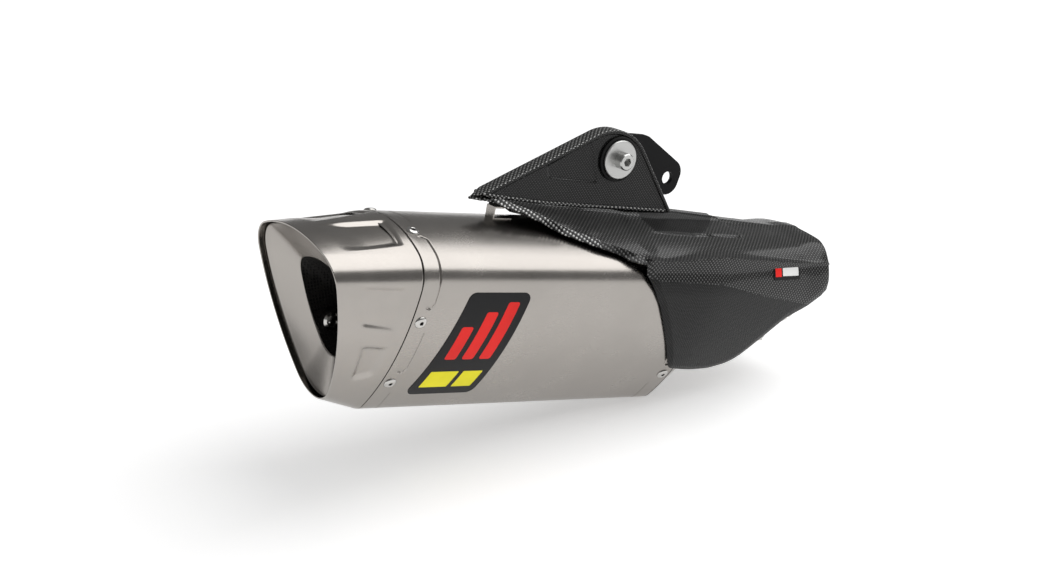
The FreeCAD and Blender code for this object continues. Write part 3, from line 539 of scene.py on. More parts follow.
def shield_half(x):
    """Right half of the shield's section at x: distance along, y, z and outward normal, to the lip."""
    station = np.linspace(0.0, 5.0, 1500)
    y, z = shield_section(x, station, 0.0)
    low_y, low_z = shield_section(x, station, LIP_TUCK)
    z = np.where(station < 2.3, soft_max(z, prow_height(x, y), 2.0), z)
    if x < LIP_SIDE[0][0]:
        past = low_y > np.interp(x, *zip(*LIP_PLAN)) + 0.001
    else:
        past = (low_z < np.interp(x, *zip(*LIP_SIDE))) & (station > 1.0)
    along = np.concatenate([[0.0], np.cumsum(np.hypot(np.diff(y), np.diff(z)))])
    slope_y, slope_z = np.gradient(y, along), np.gradient(z, along)
    return along, y, z, -slope_z, slope_y, along[max(int(np.argmax(past)), 1)]


def smoothed(values, span):
    """Run of values with its corners eased over span of them each way."""
    kernel = np.exp(-np.linspace(-2.0, 2.0, 2 * span + 1) ** 2)
    padded = np.pad(values, span, mode="reflect", reflect_type="odd")
    return np.convolve(padded, kernel / kernel.sum(), mode="valid")


def lip_tuck(x, half):
    """How far the lip is turned in at x, in millimetres."""
    along, _, z, _, normal_z, reach = half
    tuck = -LIP_TUCK
    if x < LIP_TOP[-1][0]:
        drop = np.interp(reach, along, z) - np.interp(x, *zip(*LIP_TOP))
        tuck = float(np.clip(drop / max(np.interp(reach, along, normal_z), 0.4), 1.5, 5.0))
    return tuck + (0.9 - tuck) * float(ease(x, 246.0, 268.0))


def heat_shield_skin(finishes):
    """Carbon shield: one sheet from lip to lip with its ridge, plateau, creases and turned-in band."""
    xs = np.concatenate([np.arange(70.0, 262.0, 0.8), np.arange(262.0, 396.0, 1.5),
                         np.linspace(396.0, SHIELD_LAST_X, 12)])
    halves = [shield_half(x) for x in xs]
    reach = smoothed(np.array([half[5] for half in halves]), 6)
    tucks = smoothed(np.array([lip_tuck(x, half) for x, half in zip(xs, halves)]), 24)
    skew = smoothed(np.sqrt(1.0 + np.gradient(reach, xs) ** 2), 8)
    band = np.concatenate([np.linspace(0.0, LIP_BAND, 9), LIP_BAND + np.array((0.4, 0.9, 1.8))])
    rows, cloth = [], []
    for x, half, total, tuck, lean in zip(xs, halves, reach, tucks, skew):
        along, y, z, ny, nz, _ = half
        room = min(1.0, total / (band[-1] * lean) * 0.8)
        edge = band[::-1] * room
        inner = np.linspace(0.0, total - edge[0] * lean, 120)[:-1]
        spot = np.concatenate([inner, total - edge * lean])
        from_lip = np.concatenate([np.full(len(inner), 99.0), edge])
        py, pz = np.interp(spot, along, y), np.interp(spot, along, z)
        qy, qz = np.interp(spot, along, ny), np.interp(spot, along, nz)
        drop = tuck * np.clip(1.0 - from_lip / (LIP_BAND * room), 0.0, 1.0)
        drop += 1.3 * float(ease(x, 399.3, SHIELD_LAST_X)) ** 2 + shield_relief(x, py, pz)
        py, pz = py - qy * drop, pz - qz * drop
        rows.append(np.stack([np.full(2 * len(spot) - 1, x), np.concatenate([-py[:0:-1], py]),
                              np.concatenate([pz[:0:-1], pz])], -1))
        cloth.append(np.stack([np.full(2 * len(spot) - 1, x), np.concatenate([-spot[:0:-1], spot])], -1))
    skin = grid_mesh("heat_shield_skin", np.array(rows), uv=np.array(cloth))
    zones = shield_zones(np.array(rows), len(band) - 2)
    # The lip band gets a brighter copy of the carbon as painted highlight; the plateau and the flank below the crease
    # get a darker copy as painted shade.
    for finish in ("carbon", "highlight_rim_carbon", "shaded_carbon"):
        skin.data.materials.append(finishes[finish])
    skin.data.polygons.foreach_set("material_index", zones.ravel())
    return thicken(skin, SHIELD_SHEET, 0.35)


def shield_zones(points, band_columns):
    """Which finish each face of the shield shows: 0 the weave, 1 its lip band in a brighter copy of the carbon
    as painted highlight, 2 a darker copy of the carbon as painted shade on the plateau and below the crease."""
    middle = (points[:-1, :-1] + points[1:, 1:]) / 2
    x, y, z = middle[..., 0], middle[..., 1], middle[..., 2]
    crease_z = np.interp(x, [c[0] for c in CREASE], [c[1] for c in CREASE])
    below = (z < crease_z) & (x > CREASE[0][0])
    raised = np.array([on_plateau(row_x[0], row_y) > 0.3 for row_x, row_y in zip(x, y)])
    zones = np.where(below | raised, 2, 0)
    lip = x[:, 0] < HIGHLIGHT_BAND_END
    zones[lip, :band_columns] = 1
    zones[lip, -band_columns:] = 1
    return zones


def shield_pad(name, turn):
    """Round rubber pad bonded on the sleeve under the shield."""
    middle = float(SLEEVE.length(SLEEVE.station_of_turn(turn)))
    rings = ((0.0, 2.6), (7.0, 2.6), (7.7, 2.4), (8.0, 2.0), (8.0, 0.1), (0.0, 0.1))
    angles = np.linspace(0.0, 2 * math.pi, 40, endpoint=False)
    rows = []
    for radius, height in rings:
        y, z = SLEEVE.at(SLEEVE.station_at(middle + radius * np.sin(angles)), height)
        rows.append(np.stack([PAD_X + radius * np.cos(angles), y, z], -1))
    pad = grid_mesh(name, np.array(rows), (False, True))
    if volume_sign(pad.data) < 0:
        pad.data.flip_normals()
    return pad


# ---- fin ----
def fin_silhouette():
    """The fin's side view from its tip over the apex to its heel: points and outward normals."""
    (tip_x, tip_z), (apex_x, apex_z), (heel_x, heel_z) = FIN_TIP, FIN_APEX, FIN_HEEL
    rise = math.atan2(apex_z - tip_z, apex_x - tip_x)
    fall = math.atan2(apex_z - heel_z, heel_x - apex_x)
    cut = FIN_APEX_R * math.tan((rise + fall) / 2)
    start = (apex_x - cut * math.cos(rise), apex_z - cut * math.sin(rise))
    end = (apex_x + cut * math.cos(fall), apex_z - cut * math.sin(fall))
    centre = (start[0] + FIN_APEX_R * math.sin(rise), start[1] - FIN_APEX_R * math.cos(rise))
    t = np.linspace(0.0, 1.0, 100)[:, None]
    turn = np.linspace(-rise, fall, 60)
    arc = np.stack([centre[0] + FIN_APEX_R * np.sin(turn), centre[1] + FIN_APEX_R * np.cos(turn)], -1)
    points = np.concatenate([(1 - t) * FIN_TIP + t * start, arc[1:-1], (1 - t) * end + t * FIN_HEEL])
    lean = np.concatenate([np.full(100, -rise), turn[1:-1], np.full(100, fall)])
    return points, np.stack([np.sin(lean), np.cos(lean)], -1)


def fin_half_width(x):
    return np.clip((np.asarray(x) - PROW_X) / PROW_SLOPE, 0.05, FIN_HALF)


def fin_band(sizes):
    """The fin's rounded top band, from one side's edge over to the other's."""
    points, normals = fin_silhouette()
    run = np.concatenate([[0.0], np.cumsum(np.hypot(*np.diff(points, axis=0).T))])
    radius = sizes.fin_edge
    angles = np.linspace(0.0, math.pi / 2, 7)
    flat = np.linspace(0.0, 1.0, 8)[:-1]
    half = fin_half_width(points[:, 0])
    rows, cloth = [], []
    for p, n, h, s in zip(points, normals, half, run):
        r = min(radius, 0.8 * h)
        y = np.concatenate([flat * (h - r), h - r + r * np.sin(angles)])
        inset = np.concatenate([0.12 * flat ** 2, 0.12 + r * (1 - np.cos(angles))])
        y = np.concatenate([-y[:0:-1], y])
        inset = np.concatenate([inset[:0:-1], inset])
        rows.append(np.stack([p[0] - n[0] * inset, y, p[1] - n[1] * inset], -1))
        cloth.append(np.stack([np.full(len(y), s), y + np.sign(y) * inset], -1))
    return grid_mesh("fin_band", np.array(rows), uv=np.array(cloth), middle_z=60.0)


def fin_side(name, side, sizes):
    """One side of the fin: a border, a step down to the face, and the face with its pocket."""
    points, normals = fin_silhouette()
    radius = sizes.fin_edge
    border = ((radius + 0.12, 0.0), (2.6, 0.0), (2.9, 0.1), (3.15, 0.45), (3.4, 0.75), (3.8, 0.85))
    share = np.linspace(0.0, 1.0, len(points))
    base_x = np.interp(share, (0.0, 0.2, 0.8, 1.0), (79.0, 125.0, 235.0, 257.0))
    base = np.stack([base_x, np.interp(base_x, *zip(*FIN_BASE)) - 1.2], -1)
    columns = [(points - normals * inset, depth) for inset, depth in border]
    start = columns[-1][0]
    for t in np.linspace(0.0, 1.0, 90)[1:]:
        columns.append((start + t * (base - start), 0.85))
    rows = []
    for spot, depth in columns:
        x = spot[:, 0]
        z = np.maximum(spot[:, 1], np.interp(x, *zip(*FIN_BASE)) - 1.2)
        extra = pocket_step(x, z) if depth > 0.8 else 0.0
        y = np.maximum(fin_half_width(x) - depth - extra, 0.02)
        rows.append(np.stack([x, side * y, z], -1))
    grid = np.array(rows).transpose(1, 0, 2)
    return grid_mesh(name, grid, uv=grid[..., (0, 2)].copy())


def pocket_step(x, z):
    """Depth of the pocket pressed in the fin's side."""
    total = np.zeros(np.shape(x))
    corners = np.array(FIN_POCKET)
    middle = corners.mean(0)
    for a, b in zip(corners, np.roll(corners, -1, 0)):
        normal = np.array((a[1] - b[1], b[0] - a[0])) / np.hypot(*(b - a))
        if np.dot(middle - a, normal) < 0:
            normal = -normal
        total += np.exp(-((x - a[0]) * normal[0] + (z - a[1]) * normal[1]))
    return 0.9 * ease(-np.log(total), -0.9, 0.9)


def fin_flange(name, side, sizes):
    """Rounded flange where the fin's side meets the shield."""
    xs = np.concatenate([np.linspace(78.0, 134.0, 60), np.linspace(135.0, 252.6, 90)])
    z = np.interp(xs, *zip(*FIN_BASE))
    angles = np.linspace(0.0, 2 * math.pi, 20, endpoint=False)
    out = sizes.flange * np.sign(np.cos(angles)) * np.abs(np.cos(angles)) ** 0.6
    high = 1.15 * np.sign(np.sin(angles)) * np.abs(np.sin(angles)) ** 0.6
    y = side * (fin_half_width(xs)[:, None] - 0.1 + out)
    points = np.stack([np.broadcast_to(xs[:, None], y.shape), y, z[:, None] - 0.6 + high], -1)
    flange = grid_mesh(name, points, (False, True), points[..., (0, 2)].copy())
    if volume_sign(flange.data) < 0:
        flange.data.flip_normals()
    return flange


# ---- rivets, hanger, label and badge ----
def rivet_heads(name, x, metal, hollow_shade):
    """Domed blind-rivet heads round one seam, each with the recess in its middle painted black as shade."""
    profile = ((0.0, 0.3), (1.3, 0.35), (1.4, 1.4), (1.8, 1.75), (3.0, 1.6), (4.2, 0.95), (4.7, 0.35), (4.75, 0.0),
               (0.0, 0.0))
    angles = np.linspace(0.0, 2 * math.pi, 40, endpoint=False)
    points, faces, zones = [], [], []
    for side in (1.0, -1.0):
        for turn in RIVET_TURNS:
            first = 40 * len(points)
            y0, z0 = SLEEVE.at(side * SLEEVE.station_of_turn(turn))
            out = np.array((0.0, side * math.sin(math.radians(turn)), math.cos(math.radians(turn))))
            along = np.array((0.0, out[2], -out[1]))
            for radius, height in profile:
                ring = np.array((x, y0, z0)) + height * out + radius * np.sin(angles)[:, None] * along
                ring[:, 0] += radius * np.cos(angles)
                points.append(ring)
            for i in range(len(profile) - 1):
                for j in range(40):
                    a, b, k = first + 40 * i, first + 40 * (i + 1), (j + 1) % 40
                    faces.append((a + j, a + k, b + k, b + j))
                    # The recess's faces take the black finish as painted shade.
                    zones.append(int(i < 2))
    heads = mesh_object(name, np.concatenate(points), faces)
    if volume_sign(heads.data) < 0:
        heads.data.flip_normals()
    heads.data.materials.append(metal)
    heads.data.materials.append(hollow_shade)
    heads.data.polygons.foreach_set("material_index", zones)
    return heads


def washer_disc():
    """Turned aluminium washer with a chamfered rim and a fine turned face."""
    grooves = [(r, 2.0 - 0.05 * (k % 2)) for k, r in enumerate(np.linspace(14.2, 7.2, 36))]
    profile = [(4.2, 0.0), (14.7, 0.0), (15.0, 0.3), (15.0, 1.3), (14.8, 1.6), (14.4, 1.95)] + grooves
    seat = FIN_HALF + 1.7
    profile += [(6.9, 2.0), (4.2, 2.0)]
    return turned("washer_disc", [(r, seat + d) for r, d in profile], PIVOT)


def grommet_ring():
    """Rubber bush with a rounded lip on each side of the fin."""
    lip = [(11.0, 6.9), (16.6, 6.9), (17.3, 7.1), (17.5, 7.6), (17.4, 8.1), (17.0, 8.45), (16.2, 8.55), (15.6, 8.5),
           (15.2, 8.3), (6.1, 8.3)]
    profile = [(r, -d) for r, d in lip[::-1]] + lip
    return turned("grommet_ring", profile, PIVOT)


def outline_corners(corners, radius, steps=10):
    """A convex side-view outline of (x, z) corners with rounded corners, as a closed run of points."""
    corners = np.array(corners, float)
    points = []
    for before, here, after in zip(np.roll(corners, 1, 0), corners, np.roll(corners, -1, 0)):
        back = (before - here) / np.hypot(*(before - here))
        on = (after - here) / np.hypot(*(after - here))
        half = math.acos(float(np.clip(back @ on, -1, 1))) / 2
        start, end = here + back * radius / math.tan(half), here + on * radius / math.tan(half)
        middle = here + (back + on) / np.hypot(*(back + on)) * radius / math.sin(half)
        a = math.atan2(*(start - middle)[::-1])
        b = math.atan2(*(end - middle)[::-1])
        sweep = (b - a + math.pi) % (2 * math.pi) - math.pi
        for t in np.linspace(0.0, 1.0, steps):
            points.append(middle + radius * np.array((math.cos(a + sweep * t), math.sin(a + sweep * t))))
    return np.array(points)


def patch(name, corners, radius, place, rise, rows=40, columns=24):
    """Thin plaque laid on a curved wall: place(x, z) gives the wall's y there, and rise is how far
    the plaque stands off it at the middle of its rim."""
    run = outline_corners(corners, radius)
    low, high = run[:, 1].min(), run[:, 1].max()
    t = np.linspace(0.0, 1.0, rows)
    levels = low + (high - low) * (1 - np.cos(math.pi * t)) / 2
    closed = np.concatenate([run, run[:1]])
    grid = []
    for level in np.clip(levels, low + 0.02, high - 0.02):
        hits = []
        for (ax, az), (bx, bz) in zip(closed, closed[1:]):
            if (az - level) * (bz - level) <= 0 and az != bz:
                hits.append(ax + (bx - ax) * (level - az) / (bz - az))
        u = (1 - np.cos(math.pi * np.linspace(0.0, 1.0, columns))) / 2
        grid.append(np.stack([min(hits) + (max(hits) - min(hits)) * u, np.full(columns, level)], -1))
    grid = np.array(grid)
    y = place(grid[..., 0], grid[..., 1]) - rise
    return grid_mesh(name, np.stack([grid[..., 0], y, grid[..., 1]], -1), uv=grid)


def flank_y(x, z):
    """The sleeve's outer flank at height z."""
    station = np.linspace(2.0, 4.9, 600)
    y, level = SLEEVE.at(station)
    return -np.interp(z, level[::-1], y[::-1])


def shield_y(x, z):
    """The shield's outer side at (x, z)."""
    y = np.zeros(np.shape(x))
    for index in np.ndindex(y.shape):
        station = np.linspace(1.0, 4.0, 400)
        side, level = shield_section(x[index], station, 0.0)
        side = side - shield_relief(np.full(400, x[index]), side, level)
        y[index] = -np.interp(z[index], level[::-1], side[::-1])
    return y


def shifted(corners, dx, dz):
    return [(x + dx, z + dz) for x, z in corners]


def slanted_bar(foot_x, foot_z, width, height, lean):
    """Four corners of an upright bar that leans by lean over its height."""
    return ((foot_x, foot_z), (foot_x + width, foot_z), (foot_x + width + lean, foot_z + height),
            (foot_x + lean, foot_z + height))


def fittings_bevel(node, width):
    """Soften the sharp edges of a CAD fitting."""
    rim = node.modifiers.new("edge", "BEVEL")
    rim.width = width / 1000.0
    rim.segments = 2
    rim.limit_method = "ANGLE"
    rim.angle_limit = math.radians(40.0)
    rim.harden_normals = False


# ---- shader node helpers ----
def add(tree, kind, sockets=None, **settings):
    """New node: settings are its properties, sockets its inputs, each a value or an output to link."""
    made = tree.nodes.new(kind)
    for key, value in settings.items():
        setattr(made, key, value)
    for key, value in (sockets or {}).items():
        if isinstance(value, bpy.types.NodeSocket):
            tree.links.new(value, made.inputs[key])
        else:
            made.inputs[key].default_value = value
    return made


def sums(tree, operation, a, b=0.0, c=0.0):
    return add(tree, "ShaderNodeMath", {0: a, 1: b, 2: c}, operation=operation).outputs[0]


def ramp(tree, value, low, high, out_low=0.0, out_high=1.0):
    """Smooth change from out_low to out_high as value goes from low to high."""
    return add(tree, "ShaderNodeMapRange", {"Value": value, "From Min": low, "From Max": high, "To Min": out_low,
                                            "To Max": out_high}, interpolation_type="SMOOTHSTEP").outputs["Result"]


def blend_colour(tree, mask, first, second):
    """Colour from first to second as mask goes from 0 to 1."""
    mix = tree.nodes.new("ShaderNodeMix")
    mix.data_type = "RGBA"
    for key, value in ((0, mask), (6, first), (7, second)):
        if isinstance(value, bpy.types.NodeSocket):
            tree.links.new(value, mix.inputs[key])
        else:
            mix.inputs[key].default_value = value
    return mix.outputs[2]


def new_group(name, inputs, outputs):
    """Empty node group with float inputs given as {name: default} and outputs as {name: kind}."""
    group = bpy.data.node_groups.new(name, "ShaderNodeTree")
    for key, default in inputs.items():
        socket = group.interface.new_socket(key, in_out="INPUT", socket_type="NodeSocketFloat")
        socket.default_value = default
    for key, kind in outputs.items():
        group.interface.new_socket(key, in_out="OUTPUT", socket_type=kind)
    return group, group.nodes.new("NodeGroupInput").outputs, group.nodes.new("NodeGroupOutput")


def grain_group():
    """Fine drawn grain with broad cloudy tone, both from 0 to 1, and a height for bump."""
    group, values, out = new_group(
        "drawn_grain", {"Scale": 900.0, "Stretch": 0.05, "Cloud Scale": 14.0},
        {"Tone": "NodeSocketFloat", "Cloud": "NodeSocketFloat", "Height": "NodeSocketFloat"})
    place = add(group, "ShaderNodeTexCoord").outputs["Object"]
    parts = add(group, "ShaderNodeSeparateXYZ", {0: place})
    squeezed = add(group, "ShaderNodeCombineXYZ", {
        0: sums(group, "MULTIPLY", parts.outputs[0], values["Stretch"]), 1: parts.outputs[1], 2: parts.outputs[2]})
    grain = add(group, "ShaderNodeTexNoise", {"Vector": squeezed.outputs[0], "Scale": values["Scale"], "Detail": 4.0,
                                              "Roughness": 0.6})
    cloud = add(group, "ShaderNodeTexNoise", {"Vector": place, "Scale": values["Cloud Scale"], "Detail": 5.0,
                                              "Roughness": 0.55})
    group.links.new(grain.outputs["Fac"], out.inputs["Tone"])
    group.links.new(grain.outputs["Fac"], out.inputs["Height"])
    group.links.new(cloud.outputs["Fac"], out.inputs["Cloud"])
    return group


def weave_group():
    """Plain-weave cloth from the cloth map, in millimetres: warp mask, tow shading and height."""
    group, values, out = new_group(
        "carbon_weave", {"Tow": 1.7, "Lean": 0.0},
        {"Warp": "NodeSocketFloat", "Shade": "NodeSocketFloat", "Height": "NodeSocketFloat"})
    cloth = add(group, "ShaderNodeUVMap", uv_map="cloth").outputs["UV"]
    wobble = add(group, "ShaderNodeTexNoise", {"Vector": cloth, "Scale": 0.05, "Detail": 1.0})
    parts = add(group, "ShaderNodeSeparateXYZ", {0: cloth})
    drift = sums(group, "MULTIPLY", sums(group, "SUBTRACT", wobble.outputs["Fac"], 0.5), 2.0)
    u = sums(group, "DIVIDE", sums(group, "ADD", parts.outputs[0], drift), values["Tow"])
    v = sums(group, "DIVIDE", sums(group, "ADD", parts.outputs[1], drift), values["Tow"])
    parity = sums(group, "PINGPONG", sums(group, "ADD", sums(group, "FLOOR", u), sums(group, "FLOOR", v)), 1.0)
    cell_u = sums(group, "SUBTRACT", sums(group, "FRACT", u), 0.5)
    cell_v = sums(group, "SUBTRACT", sums(group, "FRACT", v), 0.5)
    arch_u = sums(group, "COSINE", sums(group, "MULTIPLY", cell_u, 2.9))
    arch_v = sums(group, "COSINE", sums(group, "MULTIPLY", cell_v, 2.9))
    pillow = sums(group, "MULTIPLY", arch_u, arch_v)
    fibre = add(group, "ShaderNodeTexNoise", {"Vector": cloth, "Scale": 9.0, "Detail": 2.0})
    shade = sums(group, "MULTIPLY", pillow, ramp(group, fibre.outputs["Fac"], 0.2, 0.8, 0.75, 1.1))
    group.links.new(parity, out.inputs["Warp"])
    group.links.new(shade, out.inputs["Shade"])
    group.links.new(pillow, out.inputs["Height"])
    return group


def new_material(name):
    material = bpy.data.materials.new(name)
    material.use_nodes = True
    tree = material.node_tree
    tree.nodes.clear()
    shader = tree.nodes.new("ShaderNodeBsdfPrincipled")
    output = tree.nodes.new("ShaderNodeOutputMaterial")
    tree.links.new(shader.outputs[0], output.inputs[0])
    return material, tree, shader


def use_group(tree, name, **values):
    """Place a node group in a material with its own values."""
    made = tree.nodes.new("ShaderNodeGroup")
    made.node_tree = bpy.data.node_groups[name]
    for key, value in values.items():
        made.inputs[key.replace("_", " ")].default_value = value
    return made.outputs


def feed(tree, shader, **links):
    for key, value in links.items():
        name = key.replace("_", " ")
        if isinstance(value, bpy.types.NodeSocket):
            tree.links.new(value, shader.inputs[name])
        else:
            shader.inputs[name].default_value = value


def bump(tree, height, distance, strength=1.0):
    return add(tree, "ShaderNodeBump", {"Height": height, "Distance": distance, "Strength": strength}).outputs[0]


def rgba(colour, gain=1.0):
    return (colour[0] * gain, colour[1] * gain, colour[2] * gain, 1.0)


# ---- materials ----
def drawn_metal(name, colour, rough, grain=900.0, stretch=0.05, cloud=0.08, depth=0.000004):
    """Metal with a drawn grain, slightly clouded in tone and gloss."""
    material, tree, shader = new_material(name)
    grains = use_group(tree, "drawn_grain", Scale=grain, Stretch=stretch)
    tone = blend_colour(tree, ramp(tree, grains["Cloud"], 0.3, 0.7), rgba(colour, 1 - cloud), rgba(colour, 1 + cloud))
    tone = blend_colour(tree, ramp(tree, grains["Tone"], 0.25, 0.75, 0.0, 0.08), tone, rgba(colour, 0.75))
    gloss = sums(tree, "ADD", ramp(tree, grains["Tone"], 0.2, 0.8, rough - 0.015, rough + 0.02),
                 ramp(tree, grains["Cloud"], 0.3, 0.7, -0.02, 0.03))
    feed(tree, shader, Base_Color=tone, Metallic=1.0, Roughness=gloss,
         Normal=bump(tree, grains["Height"], depth, 0.15))
    return material


def carbon(name, colours, tow, gain=1.0, coat=0.42):
    """Clear-coated plain-weave carbon: warp tows painted bright and metallic over dark weft tows, a painted sheen
    of one tow direction; the tow shading darkens each tow towards its edges as painted shade, and gain scales the
    warp.
    """
    material, tree, shader = new_material(name)
    weave = use_group(tree, "carbon_weave", Tow=tow)
    # The warp's bright colour is a painted sheen; the blend by Shade is painted tow shading.
    warp = blend_colour(tree, weave["Shade"], rgba(colours.carbon_dark), rgba(colours.carbon_warp_sheen, gain))
    weft = blend_colour(tree, weave["Shade"], rgba(colours.carbon_dark), rgba(colours.carbon_weft))
    tone = blend_colour(tree, weave["Warp"], weft, warp)
    feed(tree, shader, Base_Color=tone, Metallic=ramp(tree, weave["Warp"], 0.0, 1.0, 0.1, 0.9),
         Roughness=ramp(tree, weave["Shade"], 0.0, 1.0, 0.55, 0.36),
         Normal=bump(tree, weave["Height"], 0.00035, 0.9))
    feed(tree, shader, Coat_Weight=coat, Coat_Roughness=0.16, Coat_IOR=1.5, Specular_IOR_Level=0.1)
    return material


def soot_and_shade_black(name, colour):
    """Heat-blackened sheet with small punched dimples, their middles painted darker as shade; also the painted shade
    in the rivet recesses.
    """
    material, tree, shader = new_material(name)
    place = add(tree, "ShaderNodeTexCoord").outputs["Object"]
    holes = add(tree, "ShaderNodeTexVoronoi", {"Vector": place, "Scale": 420.0, "Randomness": 0.15})
    grains = use_group(tree, "drawn_grain", Scale=1400.0, Stretch=1.0)
    # The dimples are painted darker as shade, and the sheet round them lighter.
    rim = ramp(tree, holes.outputs["Distance"], 0.32, 0.5)
    tone = blend_colour(tree, sums(tree, "MULTIPLY", rim, grains["Tone"]), rgba(colour, 0.4), rgba(colour, 2.2))
    feed(tree, shader, Base_Color=tone, Metallic=0.6, Roughness=ramp(tree, grains["Tone"], 0.2, 0.8, 0.42, 0.7),
         Normal=bump(tree, rim, 0.0004, 0.8))
    return material


def coated(name, colour, rough, depth=0.00004, scale=1800.0):
    """Powder-coated or moulded surface: fine orange peel."""
    material, tree, shader = new_material(name)
    grains = use_group(tree, "drawn_grain", Scale=scale, Stretch=1.0, Cloud_Scale=30.0)
    tone = blend_colour(tree, grains["Cloud"], rgba(colour, 0.8), rgba(colour, 1.3))
    feed(tree, shader, Base_Color=tone, Roughness=ramp(tree, grains["Tone"], 0.2, 0.8, rough - 0.06, rough + 0.08),
         Normal=bump(tree, grains["Height"], depth, 0.7), Specular_IOR_Level=0.14)
    return material


def turned_metal(name, colour, rough):
    """Lathe-turned metal: fine rings round the hanger's axis."""
    material, tree, shader = new_material(name)
    place = add(tree, "ShaderNodeTexCoord").outputs["Object"]
    centre = to_part((PIVOT[0], 0.0, PIVOT[1]))
    away = add(tree, "ShaderNodeVectorMath", {0: place, 1: tuple(centre)}, operation="SUBTRACT").outputs[0]
    flat = add(tree, "ShaderNodeVectorMath", {0: away, 1: (1.0, 0.0, 1.0)}, operation="MULTIPLY").outputs[0]
    radius = add(tree, "ShaderNodeVectorMath", {0: flat}, operation="LENGTH").outputs["Value"]
    rings = add(tree, "ShaderNodeTexNoise", {"W": radius, "Scale": 4200.0, "Detail": 3.0}, noise_dimensions="1D")
    grains = use_group(tree, "drawn_grain", Scale=900.0, Stretch=1.0)
    tone = blend_colour(tree, rings.outputs["Fac"], rgba(colour, 0.85), rgba(colour, 1.08))
    gloss = sums(tree, "ADD", ramp(tree, rings.outputs["Fac"], 0.3, 0.7, rough, rough + 0.12),
                 ramp(tree, grains["Cloud"], 0.3, 0.7, -0.03, 0.03))
    feed(tree, shader, Base_Color=tone, Metallic=1.0, Roughness=gloss,
         Normal=bump(tree, rings.outputs["Fac"], 0.00002, 0.6))
    return material


def mineral_wool(name, colour):
    material, tree, shader = new_material(name)
    grains = use_group(tree, "drawn_grain", Scale=500.0, Stretch=0.3, Cloud_Scale=40.0)
    tone = blend_colour(tree, grains["Tone"], rgba(colour, 0.6), rgba(colour, 1.2))
    feed(tree, shader, Base_Color=tone, Roughness=0.95, Normal=bump(tree, grains["Height"], 0.0008))
    return material


def studio_floor(name, colour):
    material, tree, shader = new_material(name)
    grains = use_group(tree, "drawn_grain", Scale=60.0, Stretch=1.0, Cloud_Scale=1.5)
    tone = blend_colour(tree, grains["Cloud"], rgba(colour, 0.99), rgba(colour))
    feed(tree, shader, Base_Color=tone, Roughness=0.9, Specular_IOR_Level=0.1)
    feed(tree, shader, Emission_Color=tone, Emission_Strength=FLOOR_GLOW)
    return material


MATERIALS = {}


def make_materials(colours):
    """Every finish of the silencer, by name; those of a record slot have the slot's name."""
    if MATERIALS:
        return MATERIALS
    grain_group()
    weave_group()
    metal = colours.titanium
    MATERIALS.update({
        "titanium": drawn_metal("satin_titanium", metal, 0.25, 1500.0, 0.03, 0.05),
        "titanium_cap": drawn_metal("cap_titanium", metal, 0.22, 1700.0, 0.2, 0.06),
        "liner": drawn_metal("liner_titanium", metal, 0.22, 1700.0, 0.2, 0.06),
        "stainless": drawn_metal("bright_stainless", (0.56, 0.55, 0.53), 0.17, 700.0, 1.0),
        "zinc_steel": drawn_metal("zinc_steel", (0.50, 0.50, 0.49), 0.24, 900.0, 1.0),
        "aluminium": turned_metal("turned_aluminium", (0.56, 0.56, 0.55), 0.33),
        "black_insert": soot_and_shade_black("soot_and_shade_black", (0.012, 0.011, 0.010)),
        "carbon": carbon("shield_carbon", colours, 1.7),
        # A brighter copy of the shield's carbon, as painted highlight.
        "highlight_rim_carbon": carbon("highlight_rim_carbon", colours, 1.9, 3.6),
        # A darker copy of the shield's carbon, as painted shade.
        "shaded_carbon": carbon("shaded_carbon", colours, 1.2, 0.25, 0.24),
        "face_carbon": carbon("face_carbon", colours, 1.3, 0.45),
        "black_plate": coated("black_powder_coat", (0.007, 0.007, 0.0075), 0.44),
        "rubber": coated("black_rubber", (0.014, 0.014, 0.014), 0.62, 0.00006, 900.0),
        "wool": mineral_wool("mineral_wool", (0.42, 0.38, 0.30)),
        "label": coated("label_black", (0.012, 0.012, 0.013), 0.33, 0.00001),
        "badge": coated("badge_black", (0.010, 0.010, 0.011), 0.28, 0.00001),
        "label_red": coated("label_red", colours.label_red, 0.36, 0.00001),
        "label_yellow": coated("label_yellow", colours.label_yellow, 0.36, 0.00001),
        "badge_white": coated("badge_white", (0.78, 0.78, 0.77), 0.36, 0.00001),
    })
    return MATERIALS


# ---- what a user may change ----
class SilencerSizes(bpy.types.PropertyGroup):
    """Sizes of the surface details, in millimetres."""

    line_depth: FloatProperty(name="Pressed line depth", description="Depth of the line pressed beside each seam",
                              default=1.5, min=0.0, max=2.0)
    line_width: FloatProperty(name="Pressed line width", description="Half-width of the line pressed beside each seam",
                              default=0.42, min=0.3, max=2.0)
    pocket_depth: FloatProperty(name="Pocket depth", description="Depth of the cap's pressed pockets, as a factor",
                                default=1.0, min=0.0, max=2.0)
    fin_edge: FloatProperty(name="Fin edge radius", description="Radius of the rounded edges of the fin",
                            default=0.9, min=0.2, max=2.0)
    flange: FloatProperty(name="Fin flange width", description="How far the fin's flange stands out",
                          default=1.3, min=0.3, max=3.0)


